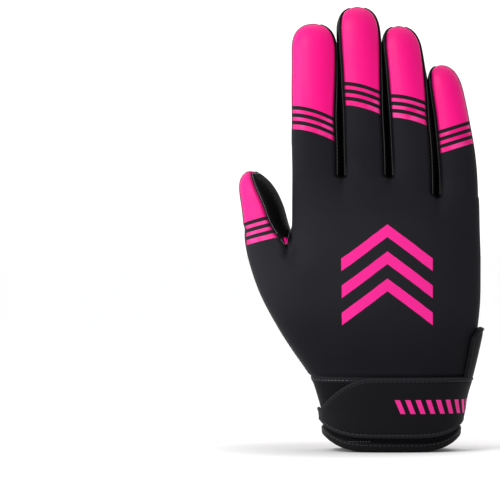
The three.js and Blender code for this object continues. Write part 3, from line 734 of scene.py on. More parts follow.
below_print = np.full(len(at), FAR_BELOW)
for f, (left_end, right_end, bend) in enumerate(PRINT_ENDS):
    (x0, z0), (x1, z1) = seen(*left_end), seen(*right_end)
    if f < len(FINGERS):
        left, right = (np.interp(z, TRACED_HEIGHTS, edges)
                       for edges in zip(*(finger_edges(f, height) for height in TRACED_HEIGHTS)))
        own = (z > crotch_of(f) + FINGER_PRINT_FROM) & (x > left - 1) & (x < right + 1)
    else:
        own = (x < thumb_gap - THUMB_PRINT_ASIDE) & (z > THUMB_PRINT_FROM)
    across = np.clip((x - x0) / (x1 - x0), -PAST_ENDS, 1 + PAST_ENDS)
    line = z0 + (z1 - z0) * np.sign(across) * np.abs(across) ** bend
    below_print[own] = (line - z)[own] * PRINT_SCALE


def add_mesh(name, co, these, values=None):
    """A smooth mesh from points in millimetres, with a number or a pair for each point."""
    mesh = bpy.data.meshes.new(name)
    mesh.from_pydata((np.asarray(co) * MM).tolist(), [], np.asarray(these).tolist()
                     if isinstance(these, np.ndarray) else these)
    for key, numbers in (values or {}).items():
        set_numbers(mesh, key, numbers)
    mesh.polygons.foreach_set("use_smooth", np.ones(len(mesh.polygons), bool))
    mesh.set_sharp_from_angle(angle=math.radians(SHARP_ANGLE))
    return add_object(name, mesh)


def dress(piece, material, slot, *nodes):
    piece.data.materials.append(material)
    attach(piece, "root")
    if nodes:
        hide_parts(*nodes)


def sewn(number, wall, material, slot):
    """One piece of the net, as thick as its cloth."""
    own = quads[piece_of == number]
    used, index = np.unique(own, return_inverse=True)
    index = index.reshape(-1, 4)
    count = len(used)
    keys = edge_keys(own)
    border = keys[~np.isin(turned(keys), keys)]
    a, b = (np.searchsorted(used, ids) for ids in (border // len(at), border % len(at)))
    rims = np.column_stack([b, a, a + count, b + count])
    co = np.concatenate([shaped[used], shaped[used] - out[used] * wall])
    both = np.concatenate([index, index[:, ::-1] + count, rims])
    values = {"cloth": place, "seam": seam, "below_print": below_print, "fold_shade": fold_shade,
              "edge_shade_facing": -out[:, 1]}
    values = {key: np.concatenate([numbers[used]] * 2) for key, numbers in values.items()}
    node = PIECES[number]
    dress(add_mesh(node + "_cloth", co, both, values), material, slot, node)


def wrist_point(turn, z, offset):
    """A point on the outside of the wrist, turned from its little-finger side over the back."""
    left, right = hand_edges(z)
    half_width = (right - left) / 2
    over_back = 0 <= turn <= math.pi
    deep = hand_depth("back" if over_back else "palm", z) / 2
    u, v = unit_point(turn, HAND_POWER)
    out_x = math.copysign(abs(u) ** (HAND_POWER - 1), u) / half_width
    out_y = -math.copysign(abs(v) ** (HAND_POWER - 1), v) / deep
    size = math.hypot(out_x, out_y)
    x = (left + right) / 2 + u * half_width
    return (x + offset * out_x / size, middle_y(x, z) - v * deep + offset * out_y / size, z)


def grid_faces(rows, columns, closed=False):
    faces = []
    for r in range(rows - 1):
        for c in range(columns if closed else columns - 1):
            d = (c + 1) % columns
            faces.append((r * columns + c, r * columns + d, (r + 1) * columns + d,
                          (r + 1) * columns + c))
    return faces


def add_plate(name, rows, columns, place_of, edge_of, thickness_of, cloth_of):
    """A closed plate, from functions of its rows and columns. place_of also takes a height."""
    spots = [(r, c) for r in range(rows) for c in range(columns)]
    count = len(spots)
    outer = [place_of(r, c, thickness_of(r, c)) for r, c in spots]
    inner = [place_of(r, c, 0) for r, c in spots]
    faces = grid_faces(rows, columns)
    faces += [tuple(count + i for i in face[::-1]) for face in faces]
    rim = [*range(columns), *range(2 * columns - 1, count, columns),
           *range(count - 2, count - columns - 1, -1), *range(count - 2 * columns, 0, -columns)]
    faces += [(b, a, count + a, count + b) for a, b in zip(rim, rim[1:] + rim[:1])]
    values = {"cloth": [cloth_of(r, c) for r, c in spots] * 2,
              "seam": [edge_of(r, c) for r, c in spots] * 2}
    return add_mesh(name, outer + inner, faces, values)


def lines_at(number, value, level):
    """Lines over a piece of the net where a value is level, each a row of places and normals."""
    own = quads[piece_of == number]
    crossed = (value[own].min(1) < level) & (value[own].max(1) >= level)
    spots, links = {}, {}
    for quad in own[crossed].tolist():
        cut = []
        for a, b in zip(quad, quad[1:] + quad[:1]):
            if (value[a] < level) != (value[b] < level):
                key = (min(a, b), max(a, b))
                share = (level - value[a]) / (value[b] - value[a])
                spots[key] = (*mix(shaped[a], shaped[b], share), *mix(out[a], out[b], share))
                cut.append(key)
        if len(cut) == 2:
            links.setdefault(cut[0], []).append(cut[1])
            links.setdefault(cut[1], []).append(cut[0])
    lines, left = [], set(links)
    for start in sorted(links, key=lambda key: len(links[key])):
        line, key = [], start if start in left else None
        while key is not None:
            left.discard(key)
            line.append(spots[key])
            key = next((other for other in links[key] if other in left), None)
        if len(line) > 3:
            lines.append(np.array(line))
    return lines


# A stitch's rings, each with its place along it and its size, as shares of length and radius
STITCH_RINGS = [(-0.5, 0.45), (-0.3, 0.95), (0.3, 0.95), (0.5, 0.45)]
STITCH_SIDES, LOOK_AHEAD, SHORTEST = 6, 0.3, 1e-6


def stitches(name, lines, material, slot, length=1.7, gap=0.6, radius=0.22, lift=0.05):
    """Short stitches along lines of places and normals, as one piece."""
    co, ids = [], []
    for line in lines:
        steps = np.linalg.norm(np.diff(line[:, :3], axis=0), axis=1)
        walked = np.concatenate([[0], np.cumsum(steps)])
        count = max(1, round(walked[-1] / (length + gap)))
        for k in range(count):
            middle = (k + 0.5) * walked[-1] / count
            spot, ahead = ([np.interp(middle + past, walked, line[:, i]) for i in range(6)]
                           for past in (0, LOOK_AHEAD))
            centre, normal = np.array(spot[:3]), np.array(spot[3:])
            normal /= np.linalg.norm(normal)
            forward = np.array(ahead[:3]) - centre
            forward /= max(np.linalg.norm(forward), SHORTEST)
            aside = np.cross(normal, forward)
            start = len(co)
            for share, swell in STITCH_RINGS:
                for j in range(STITCH_SIDES):
                    angle = 2 * math.pi * j / STITCH_SIDES
                    rise = radius * swell * math.sin(angle) + lift
                    co.append(centre + forward * share * length + normal * rise
                              + aside * radius * swell * math.cos(angle))
            ids += [tuple(start + i for i in face[::-1])
                    for face in grid_faces(len(STITCH_RINGS), STITCH_SIDES, closed=True)]
            last = start + (len(STITCH_RINGS) - 1) * STITCH_SIDES
            ids.append(tuple(range(start, start + STITCH_SIDES)))
            ids.append(tuple(range(last + STITCH_SIDES - 1, last - 1, -1)))
    dress(add_mesh(name, co, ids), material, slot)


def facing_front(lines, most, floor=0):
    """The parts of lines above a height whose normals look to the front."""
    kept = []
    for line in lines:
        shown = (line[:, 4] < most) & (line[:, 2] > floor)
        cuts = np.flatnonzero(np.diff(shown.astype(int))) + 1
        kept += [part for part, mask in zip(np.split(line, cuts), np.split(shown, cuts))
                 if mask[0] and len(part) > 3]
    return kept


def line_with_normals(steps, place_at):
    """A line for stitches. place_at(step, out) gives its points, and those 1 mm above them."""
    spots, above = ([place_at(step, out) for step in steps] for out in (0, 1))
    return np.column_stack([spots, np.subtract(above, spots)])


# Finishes


class Field:
    """A number that varies over a surface, worked out by its nodes."""
    def __init__(self, tree, socket):
        self.tree, self.socket = tree, socket

    def calc(self, operation, *others, flip=False):
        node = self.tree.nodes.new("ShaderNodeMath")
        node.operation = operation
        terms = [*others, self] if flip else [self, *others]
        for entry, term in zip(node.inputs, terms):
            if isinstance(term, Field):
                self.tree.links.new(term.socket, entry)
            else:
                entry.default_value = term
        return Field(self.tree, node.outputs[0])

    def __add__(self, other):
        return self.calc("ADD", other)

    def __sub__(self, other):
        return self.calc("SUBTRACT", other)

    def __rsub__(self, other):
        return self.calc("SUBTRACT", other, flip=True)

    def __mul__(self, other):
        return self.calc("MULTIPLY", other)

    def __truediv__(self, other):
        return self.calc("DIVIDE", other)

    __radd__, __rmul__ = __add__, __mul__

    def __abs__(self):
        return self.calc("ABSOLUTE")

    def wave(self, length):
        """0 to 1 and back over each length."""
        return (self * (2 * math.pi / length)).calc("SINE") * 0.5 + 0.5

    def within(self, pitch):
        """Distance past the last multiple of pitch."""
        return (self / pitch).calc("FRACT") * pitch

    def step(self, edge, soft=0.06):
        """0 below the edge and 1 above it."""
        node = self.tree.nodes.new("ShaderNodeMapRange")
        node.interpolation_type = "SMOOTHSTEP"
        self.tree.links.new(self.socket, node.inputs["Value"])
        node.inputs["From Min"].default_value = edge - soft
        node.inputs["From Max"].default_value = edge + soft
        return Field(self.tree, node.outputs["Result"])

    def band(self, low, high, soft=0.06):
        return self.step(low, soft) - self.step(high, soft)


def total(fields):
    return sum(fields[1:], fields[0])


def diagonal(across, up):
    return (across * across + up * up).calc("SQRT")


# The sockets of a Mix node's colours
MIX_FIRST, MIX_SECOND, MIX_RESULT = 6, 7, 2


class Finish:
    def __init__(self, name, **settings):
        self.material = bpy.data.materials.new(name)
        self.material.use_nodes = True
        self.tree = self.material.node_tree
        self.shader = self.tree.nodes["Principled BSDF"]
        for key, value in settings.items():
            self.shader.inputs[key.replace("_", " ")].default_value = value

    def read(self, name):
        node = self.tree.nodes.new("ShaderNodeAttribute")
        node.attribute_name = name
        return node

    def number(self, name):
        return Field(self.tree, self.read(name).outputs["Fac"])

    def parts(self, socket):
        node = self.tree.nodes.new("ShaderNodeSeparateXYZ")
        self.tree.links.new(socket, node.inputs[0])
        return [Field(self.tree, out) for out in node.outputs]

    def cloth(self):
        return self.parts(self.read("cloth").outputs["Vector"])[:2]

    def place(self):
        """The place on the object, in millimetres."""
        node = self.tree.nodes.new("ShaderNodeTexCoord")
        return [part * 1000 for part in self.parts(node.outputs["Object"])]

    def noise(self, size, detail=2, roughness=0.5):
        """Noise with spots of about that size in millimetres."""
        where = self.tree.nodes.new("ShaderNodeTexCoord")
        node = self.tree.nodes.new("ShaderNodeTexNoise")
        self.tree.links.new(where.outputs["Object"], node.inputs["Vector"])
        node.inputs["Scale"].default_value = 1000 / size
        node.inputs["Detail"].default_value = detail
        node.inputs["Roughness"].default_value = roughness
        return Field(self.tree, node.outputs["Fac"])

    def blend(self, share, a, b):
        """A colour between two, each a colour or a socket."""
        node = self.tree.nodes.new("ShaderNodeMix")
        node.data_type = "RGBA"
        self.tree.links.new(share.socket, node.inputs["Factor"])
        for entry, colour in ((node.inputs[MIX_FIRST], a), (node.inputs[MIX_SECOND], b)):
            if isinstance(colour, tuple):
                entry.default_value = (*colour, 1)
            else:
                self.tree.links.new(colour, entry)
        return node.outputs[MIX_RESULT]

    def layers(self, colour, *shares_and_colours):
        """A colour under others, each with its share."""
        for share, over in shares_and_colours:
            colour = self.blend(share, colour, over)
        return colour

    def show(self, **fields):
        """Sets shader inputs from fields or colours, and relief from its height in millimetres."""
        for key, field in fields.items():
            if key == "relief":
                node = self.tree.nodes.new("ShaderNodeBump")
                node.inputs["Distance"].default_value = MM
                self.tree.links.new(field.socket, node.inputs["Height"])
                self.tree.links.new(node.outputs["Normal"], self.shader.inputs["Normal"])
            else:
                socket = field.socket if isinstance(field, Field) else field
                self.tree.links.new(socket, self.shader.inputs[key.replace("_", " ")])
        return self.material


PINK = (0.82, 0.001, 0.215)
PINK_DEEP = (0.70, 0.0006, 0.165)
PINK_TRANSFER = (0.73, 0.012, 0.238)
WALE, COURSE, LOOP_SLANT, LOOP_ROUNDING = 0.62, 0.5, 0.55, 0.8


def knit(u, v):
    """Height of a knitted surface, 0 to 1: columns of V-shaped loops."""
    lean = abs((u / WALE).calc("FRACT") - 0.5) * 2
    loops = (v + lean * (LOOP_SLANT * COURSE)).wave(COURSE)
    return loops * (1 - lean * lean * LOOP_ROUNDING)


# Print of the back, in millimetres: the stripes below a tip's solid print and the chevrons
STRIPES, STRIPE_INK = [(1.9, 3.65), (5.55, 7.3), (9.2, 11.6)], 0.88
# Where the painted highlight spots run below the print's end, and the facing below which painted edge
# shade replaces the print
PAINTED_HIGHLIGHT_RUN, EDGE_SHADE_FACING = (1.0, 12), 0.33
CHEVRONS_X, CHEVRONS_Z, CHEVRONS_HALF_WIDTH, CHEVRONS_HALF_HEIGHT = -2.6, 100.4, 23, 20.5
CHEVRON_SLOPE, CHEVRON_PITCH, CHEVRON_BAR = 0.75, 13.7, (1.3, 7.7)
# Painted light and painted shade on the back: a lighter patch, a darker cuff, and deeper pink towards
# the tips
PAINTED_LIGHT_HEIGHTS, PAINTED_LIGHT_LEFT_OF, CUFF_SHADE_BELOW, PINK_SHADE_RIGHT_OF, PINK_SHADE_ABOVE = (72, 122), 10, 60, -24, -20


def back_finish():
    f = Finish("back_cloth", Sheen_Weight=0.02, Sheen_Roughness=0.45)
    u, v = f.cloth()
    t = f.number("below_print")
    seam_share = f.number("seam").step(0.9, 0.7)
    loops = knit(u, v)
    wear = f.noise(26, 3)
    print_mask = 1 - t.step(0.0) + total([t.band(*stripe) for stripe in STRIPES]) * STRIPE_INK
    # Stacked chevrons in the middle of the back
    across = abs(u - CHEVRONS_X)
    rise = v - CHEVRONS_Z + across * CHEVRON_SLOPE
    bars = (rise + CHEVRONS_HALF_HEIGHT).within(CHEVRON_PITCH).band(*CHEVRON_BAR)
    chevrons = (rise.band(-CHEVRONS_HALF_HEIGHT, CHEVRONS_HALF_HEIGHT) * bars
                * (1 - across.step(CHEVRONS_HALF_WIDTH)))
    # The print gives way to black as painted shade, a thin dark edge where the cloth turns away to the
    # sides
    edge_shade_facing = f.number("edge_shade_facing").step(EDGE_SHADE_FACING, 0.12)
    ink = (print_mask + chevrons).calc("MINIMUM", 1) * edge_shade_facing
    tone = wear.band(0.35, 0.65, 0.25)
    # Black, lighter over the middle of the hand as painted light, and darker towards the cuff and in
    # folds as painted shade
    pale = v.band(*PAINTED_LIGHT_HEIGHTS, 16) * (1 - u.step(PAINTED_LIGHT_LEFT_OF, 30))
    black = f.layers(
        f.blend(loops, (0.0052, 0.0050, 0.0070), (0.0122, 0.0115, 0.0152)),
        (tone * 0.35, (0.0140, 0.0134, 0.0172)), (pale * 0.6, (0.0158, 0.0151, 0.0188)),
        (0.55 - v.step(CUFF_SHADE_BELOW, 18) * 0.55, (0.0036, 0.0034, 0.0050)),
        (f.number("fold_shade"), (0.0006, 0.0006, 0.0008)))
    # Pink, deeper towards the tips from the middle finger on as painted shade, with pale spots on the
    # stripes as painted highlight, and dark beside the seams
    deep = u.step(PINK_SHADE_RIGHT_OF, 8) * (1 - t.step(PINK_SHADE_ABOVE, 16))
    painted_highlight = t.band(*PAINTED_HIGHLIGHT_RUN, 1) * f.noise(11, 2).step(0.56, 0.12)
    pink = f.layers(
        f.blend(loops * 0.35 + tone * 0.3, PINK_DEEP, PINK),
        (deep * 0.75, (0.66, 0.0004, 0.155)), (painted_highlight * 0.4, (0.90, 0.10, 0.42)),
        (1 - seam_share, (0.30, 0.002, 0.08)), (chevrons, PINK_TRANSFER))
    return f.show(Base_Color=f.blend(ink, black, pink), Specular_IOR_Level=ink * 0.13 + 0.05,
                  Roughness=0.6 - ink * 0.24 + wear * 0.08, relief=loops * 0.03 + wear * 0.2)


# Print of the palm, in millimetres: a hexagon of rings, hatched sectors and rays, bars across
# the fingers, and a line along the hand's outer edges that breaks at the thumb's crotch
HEXAGON_X, HEXAGON_Z, HEXAGON_RINGS = -8, 76, [(27, 30.5), (10, 12), (40, 41.2)]
INNER_SECTORS, OUTER_SECTORS, HATCH_PITCH, HATCH = (13.5, 25.5), (32, 38.8), 1.7, (0.25, 1.25)
RAYS_FROM, RAY_HALF_WIDTH, SECTOR_PAIRS, COS_30, SIN_30 = 30, 0.9, 3, 0.866, 0.5
FINGER_BARS_FROM, FINGER_BARS_LEAN, FINGER_BARS_PITCH = 146, 0.5, 22
WIDE_BAR, THIN_BARS, THIN_PITCH, THIN_BAR = (2, 4.2), (6.2, 10.8), 1.6, (0.2, 1)
EDGE_LINE, EDGE_LINE_HEIGHTS, PALM_X, EDGE_LINE_ASIDE = (3.2, 4.1), (40, 190), -2.5, 34
CROTCH_X, CROTCH_Z, CROTCH_BREAK, PALM_PRINT_FROM, SEAM_MARGIN = -50.8, 107, 9, 19, 3.2


def palm_finish():
    f = Finish("palm_grip", Specular_IOR_Level=0.08, Coat_Weight=0.2, Coat_Roughness=0.05)
    u = f.cloth()[0]
    x, _, z = f.place()
    grain = f.noise(0.9, 2)
    swell = f.noise(9, 2)
    smear = f.noise(30, 3)
    dx, dz = x - HEXAGON_X, z - HEXAGON_Z
    turn = dz.calc("ARCTAN2", dx)
    hexagon = (abs(dx) * COS_30 + abs(dz) * SIN_30).calc("MAXIMUM", abs(dz))
    rings = total([hexagon.band(*ring) for ring in HEXAGON_RINGS])
    sides = (turn * SECTOR_PAIRS).calc("SINE")
    beside_ray = abs(sides) * diagonal(dx, dz) / SECTOR_PAIRS
    rays = (1 - beside_ray.step(RAY_HALF_WIDTH)) * hexagon.step(RAYS_FROM)
    alternate = sides.step(0, 0.02)
    sectors = alternate * hexagon.band(*INNER_SECTORS) + (1 - alternate) * hexagon.band(*OUTER_SECTORS)
    hatch = (dx * SIN_30 + dz * COS_30).within(HATCH_PITCH).band(*HATCH)
    slant = z + u * FINGER_BARS_LEAN
    past_bar = slant.within(FINGER_BARS_PITCH)
    thin_bars = past_bar.band(*THIN_BARS) * slant.within(THIN_PITCH).band(*THIN_BAR)
    bars = past_bar.band(*WIDE_BAR) + thin_bars
    from_seam = f.number("seam")
    past_crotch = diagonal(x - CROTCH_X, z - CROTCH_Z).step(CROTCH_BREAK, 0.4)
    edge_line = (from_seam.band(*EDGE_LINE) * abs(x - PALM_X).step(EDGE_LINE_ASIDE)
                 * z.band(*EDGE_LINE_HEIGHTS) * past_crotch)
    ink = total([rings, rays, sectors * hatch, bars * z.step(FINGER_BARS_FROM), edge_line])
    ink = ink.calc("MINIMUM", 1) * z.step(PALM_PRINT_FROM) * from_seam.step(SEAM_MARGIN)
    black = f.blend(smear, (0.002, 0.002, 0.0026), (0.0055, 0.0055, 0.0068))
    return f.show(Base_Color=f.blend(ink, black, (0.72, 0.008, 0.2)),
                  Roughness=0.13 + smear * 0.1 + grain * 0.05,
                  relief=swell * 0.25 + grain * 0.03 + ink * 0.05)


# A small pink patch on the strip of the thumb
PATCH_RUN, PATCH_HEIGHTS, PATCH_LEAN = (-22.6, -21.2), (105.2, 108.2), 0.3


def stretch_finish():
    f = Finish("stretch_cloth", Specular_IOR_Level=0.042)
    x, _, z = f.place()
    ribs = f.cloth()[0].wave(0.45)
    wear = f.noise(14, 2)
    patch = (x + z * PATCH_LEAN).band(*PATCH_RUN, 0.3) * z.band(*PATCH_HEIGHTS, 0.5)
    black = f.blend(ribs, (0.0008, 0.0008, 0.001), (0.0025, 0.0025, 0.003))
    return f.show(Base_Color=f.blend(patch, black, PINK),
                  Roughness=0.33 + wear * 0.15, relief=ribs * 0.03 + wear * 0.35)


CUFF_TAPE_WIDTH, STRAP_TAPE_WIDTH, TAPE_TURN = 2.6, 1.85, 28


def cuff_finish():
    f = Finish("cuff_knit", Specular_IOR_Level=0.06, Sheen_Weight=0.02)
    u, v = f.cloth()
    mesh = (u + v * 0.6).wave(1.5) * (u - v * 0.6).wave(1.5)
    wear = f.noise(18, 3)
    bound = 1 - f.number("seam").step(CUFF_TAPE_WIDTH, 0.15)
    cloth = f.blend(mesh, (0.0016, 0.0016, 0.0026), (0.0078, 0.0072, 0.0098))
    return f.show(Base_Color=f.blend(bound, cloth, (0.0105, 0.0102, 0.0125)),
                  Roughness=0.62 + wear * 0.2, relief=mesh * 0.12 * (1 - bound) + wear * 0.2)


def tape_finish():
    f = Finish("woven_tape", Specular_IOR_Level=0.1)
    x, y, z = f.place()
    turn = y.calc("ARCTAN2", x) * TAPE_TURN
    weave = turn.wave(0.9) * (z + turn * 0.25).wave(0.7)
    wear = f.noise(12, 3)
    return f.show(Base_Color=f.blend(weave, (0.0024, 0.0024, 0.003), (0.0076, 0.0076, 0.009)),
                  Roughness=0.45 + wear * 0.2, relief=weave * 0.08)


# Slanted bars on the strap, in millimetres
STRAP_BARS_UP, STRAP_BARS_RUN, STRAP_BARS_LEAN = (19.5, 26.5), (9.8, 53.9), 0.35
STRAP_BARS_PITCH, STRAP_BAR = 4.9, (0.8, 3.3)


# painted_shade scales every colour of the finish down, for a shaded copy
def strap_finish(name, painted_shade=1.0):
    f = Finish(name, Sheen_Weight=0.02)
    u, v = f.cloth()
    dots = u.wave(0.9) * v.wave(0.9)
    wear = f.noise(16, 3)
    tape_part = 1 - f.number("seam").step(STRAP_TAPE_WIDTH, 0.12)
    lean = u + v * STRAP_BARS_LEAN
    bars = (v.band(*STRAP_BARS_UP) * lean.within(STRAP_BARS_PITCH).band(*STRAP_BAR)
            * lean.band(*STRAP_BARS_RUN))
    deep, pale, bound = (tuple(c * painted_shade for c in colour) for colour in (
        (0.0035, 0.0035, 0.0048), (0.008, 0.008, 0.0105), (0.0115, 0.0115, 0.014)))
    cloth = f.blend(tape_part, f.blend(dots, deep, pale), bound)
    return f.show(Base_Color=f.blend(bars, cloth, PINK_TRANSFER),
                  Specular_IOR_Level=bars * 0.2 + 0.07,
                  Roughness=0.58 - bars * 0.12 + wear * 0.12, relief=dots * 0.04 + bars * 0.06)


TWIST_LEAN, TWIST_LENGTH, TWIST_SHADE = 1.4, 0.35, 0.55


def thread_finish(name, colour):
    f = Finish(name, Roughness=0.45, Specular_IOR_Level=0.35)
    x, y, z = f.place()
    twist = (x + y + z * TWIST_LEAN).wave(TWIST_LENGTH)
    dark = tuple(c * TWIST_SHADE for c in colour)
    return f.show(Base_Color=f.blend(twist, dark, colour), relief=twist * 0.04)


back_cloth, palm_grip, stretch = back_finish(), palm_finish(), stretch_finish()
cuff_cloth, tape = cuff_finish(), tape_finish()
# The tab's finish is the strap's, darkened to 0.35 as painted shade
strap_cloth, painted_shade_tab_cloth = strap_finish("strap_cloth"), strap_finish("painted_shade_tab_cloth", 0.35)
dark_thread = thread_finish("dark_thread", (0.026, 0.026, 0.029))
# Thread for the strips' corded edges: a real cord, paler than the cloth as painted highlight
painted_highlight_thread = thread_finish("painted_highlight_thread", (0.042, 0.042, 0.046))
pale_thread = thread_finish("pale_thread", (0.16, 0.14, 0.155))

for number, (wall, material, slot) in enumerate([
        (BACK_WALL, back_cloth, "back_cloth"), (PALM_WALL, palm_grip, "palm_grip"),
        *[(GUSSET_WALL, stretch, "stretch_gusset")] * 4, (CUFF_WALL, cuff_cloth, "cuff_cloth")]):
    sewn(number, wall, material, slot)

# Hem binding: tape folded round the cuff's edge. Its profile is (out, up) from the hem.
HEM_PROFILE = [(0.15, 4.6), (0.5, 4.35), (0.62, 3.6), (0.58, 2.2), (0.5, 1.0), (0.2, 0.3),
               (-0.4, 0.02), (-1.3, -0.08), (-2.1, 0.1), (-2.55, 0.8), (-2.7, 2.2), (-2.6, 3.8),
               (-2.2, 4.5), (-1.0, 4.5)]
HEM_STEPS, HEM_LOWEST, HEM_LIFT, HEM_ROW_UP, HEM_ROW_OUT = 240, 0.02, 0.1, 3.3, 0.55
hem_turns = [2 * math.pi * k / HEM_STEPS for k in range(HEM_STEPS)]


def hem_z(turn, up):
    reach = unit_point(turn, HAND_POWER)[0]
    return max(HEM_LOWEST, hem_height(reach) + up + HEM_LIFT)


co = [wrist_point(turn, hem_z(turn, up), outward) for turn in hem_turns for outward, up in HEM_PROFILE]
ids = [tuple(i % len(co) for i in face[::-1])
       for face in grid_faces(HEM_STEPS + 1, len(HEM_PROFILE), closed=True)]
dress(add_mesh("hem_tape", co, ids), tape, "binding_tape", "hem_binding")


def turn_past_side(distance):
    return math.asin((2 * distance / CUFF_DEPTH) ** (HAND_POWER / 2))


# Strap over the back of the wrist. Columns lie close together beside its bound edges, one of
# them under each row of stitches. It thins towards its loose end and low down at its sides.
STITCH_COLUMN = 6
EDGE_STEPS = [0, 0.12, 0.4, 0.8, 1.2, 1.6, 1.85, 2.1, 2.5, 3.1]
STRAP_STEPS, STRAP_MIDDLES, STRAP_CORNER, STITCHES_SHORT, STITCHES_LIFT = 160, 12, 2.6, 4, 0.05
STRAP_COLUMNS = 2 * len(EDGE_STEPS) + STRAP_MIDDLES
THINNING, THIN_END, THIN_LOW, THIN_SIDE_POWER = 0.5, 26, 6, 8
# The bound edge's rounding, and its ridge and dip, each with height, distance and width
EDGE_ROUNDING, EDGE_SHARE, EDGE_RIDGE, EDGE_DIP = 0.8, 0.35, (0.35, 1.0, 0.55), (-0.3, 1.95, 0.3)
EDGE_ROOM, END_MARGIN = 2.2 * EDGE_STEPS[-1], 0.1
strap_turn = turn_past_side(STRAP_PAST_SIDE)
strap_turns = [mix(-strap_turn, math.pi + strap_turn, k / STRAP_STEPS) for k in range(STRAP_STEPS + 1)]
strap_path = [wrist_point(turn, CUFF_PALM_HEIGHT, STRAP_CLEARANCE) for turn in strap_turns]
steps = [math.dist(a, b) for a, b in zip(strap_path, strap_path[1:])]
length_left = [sum(steps[k:]) for k in range(STRAP_STEPS + 1)]
length_gone = [sum(steps[:k]) for k in range(STRAP_STEPS + 1)]


def strap_across(k, c):
    """Height of a strap's column and its distance from the nearer long edge."""
    reach = unit_point(strap_turns[k], HAND_POWER)[0]
    low = hem_height(reach) + BINDING_HEIGHT + STRAP_HEM_MARGIN
    narrowed = clamp((STRAP_END_LENGTH + STRAP_TAPER - length_left[k]) / STRAP_TAPER)
    top = mix(CUFF_BACK_HEIGHT - STRAP_TOP_MARGIN, low + STRAP_END_WIDTH, narrowed ** STRAP_TAPER_POWER)
    near_end = clamp(1 - min(length_left[k], length_gone[k]) / STRAP_CORNER)
    corner = STRAP_CORNER * (1 - math.sqrt(1 - near_end ** 2))
    low, top = low + corner, top - corner
    squeeze = min(1, (top - low) / EDGE_ROOM)
    edge = [step * squeeze for step in EDGE_STEPS]
    from_top = STRAP_COLUMNS - 1 - c
    if c < len(edge):
        z = low + edge[c]
    elif from_top < len(edge):
        z = top - edge[from_top]
    else:
        z = mix(low + edge[-1], top - edge[-1], (c - len(edge) + 1) / (STRAP_MIDDLES + 1))
    return z, max(0, min(z - low, top - z))


def bound_thickness(full, from_edge):
    """Thickness near a bound edge: rounded, then a ridge of tape, then the stitched dip."""
    rounded = math.sqrt(1 - (1 - min(1, from_edge / EDGE_ROUNDING)) ** 2)
    return (full * mix(EDGE_SHARE, 1, rounded) + ridge(from_edge, *EDGE_RIDGE)
            + ridge(from_edge, *EDGE_DIP))


def strap_place(k, c, height):
    return wrist_point(strap_turns[k], strap_across(k, c)[0], STRAP_CLEARANCE + height)


def strap_edge(k, c):
    return min(strap_across(k, c)[1], length_left[k] + END_MARGIN, length_gone[k] + END_MARGIN)


def strap_height(k, c):
    at_end = clamp(1 - length_left[k] / THIN_END)
    from_low = strap_across(k, c)[0] - strap_across(k, 0)[0]
    reach = unit_point(strap_turns[k], HAND_POWER)[0]
    at_side = abs(reach) ** THIN_SIDE_POWER * clamp(1 - from_low / THIN_LOW)
    thinned = 1 - THINNING * max(at_end, at_side)
    return bound_thickness(STRAP_THICKNESS, strap_edge(k, c)) * thinned


def strap_line(c):
    return line_with_normals(
        range(STITCHES_SHORT, STRAP_STEPS + 1 - STITCHES_SHORT),
        lambda k, out: strap_place(k, c, strap_height(k, c) + STITCHES_LIFT + out))


strap = add_plate(
    "strap_band", STRAP_STEPS + 1, STRAP_COLUMNS, strap_place, strap_edge, strap_height,
    lambda k, c: (length_gone[STRAP_STEPS // 2] - length_gone[k], strap_across(k, c)[0]))
dress(strap, strap_cloth, "strap_cloth", "strap")
stitches("strap_stitches", [strap_line(STITCH_COLUMN), strap_line(STRAP_COLUMNS - 1 - STITCH_COLUMN)],
         dark_thread, "strap_cloth", radius=0.18)

# Pale stitches on the cuff and the hem's tape, from one angle round the wrist to another
for name, (start, stop), height, out_by, length, gap in (
        ("cuff_pale_stitches", (144, 117), 36.2, 0.35, 0.9, 1.2),
        ("hem_pale_stitches", (128, 104), 5.4, 0.3, 0.7, 0.7)):
    turns = [math.radians(mix(start, stop, k / 40)) for k in range(41)]
    row = line_with_normals(turns, lambda turn, out: wrist_point(turn, height, out_by + out))
    stitches(name, [row], pale_thread, "binding_tape", length=length, gap=gap, radius=0.2)
hem_row = line_with_normals(
    hem_turns, lambda turn, out: wrist_point(turn, hem_z(turn, HEM_ROW_UP), HEM_ROW_OUT + out))
stitches("hem_stitches", [hem_row], dark_thread, "binding_tape", radius=0.2)

# Pull tab on the little-finger side, its low end tucked into the strap
TAB_UNDERLAP, TAB_COLUMNS, TAB_ROWS, TAB_EDGE_SHARE, TAB_CLOTH_START = 3, 40, 34, 0.6, 60
tab_turn = turn_past_side(TAB_WIDTH / 2)
tab_bottom = CUFF_BACK_HEIGHT + STRAP_TOP_MARGIN - TAB_UNDERLAP


def tab_shares(k, c):
    return 2 * k / TAB_COLUMNS - 1, c / TAB_ROWS


def tab_place(k, c, height):
    across, up = tab_shares(k, c)
    tall = TAB_UNDERLAP + TAB_HEIGHT * (1 - TAB_ROUNDING * abs(across) ** 3)
    return wrist_point(across * tab_turn, tab_bottom + tall * up,
                       STRAP_CLEARANCE + TAB_LIFT * up ** 2 + height)


def tab_edge(k, c):
    across, up = tab_shares(k, c)
    return min((1 - abs(across)) * TAB_WIDTH * TAB_EDGE_SHARE, (1 - up) * TAB_HEIGHT)


tab = add_plate(
    "pull_tab", TAB_COLUMNS + 1, TAB_ROWS + 1, tab_place, tab_edge,
    lambda k, c: bound_thickness(TAB_THICKNESS, tab_edge(k, c)),
    lambda k, c: (TAB_CLOTH_START + k * TAB_WIDTH / TAB_COLUMNS, tab_bottom + c * TAB_HEIGHT / TAB_ROWS))
dress(tab, painted_shade_tab_cloth, "strap_cloth", "side_tab")

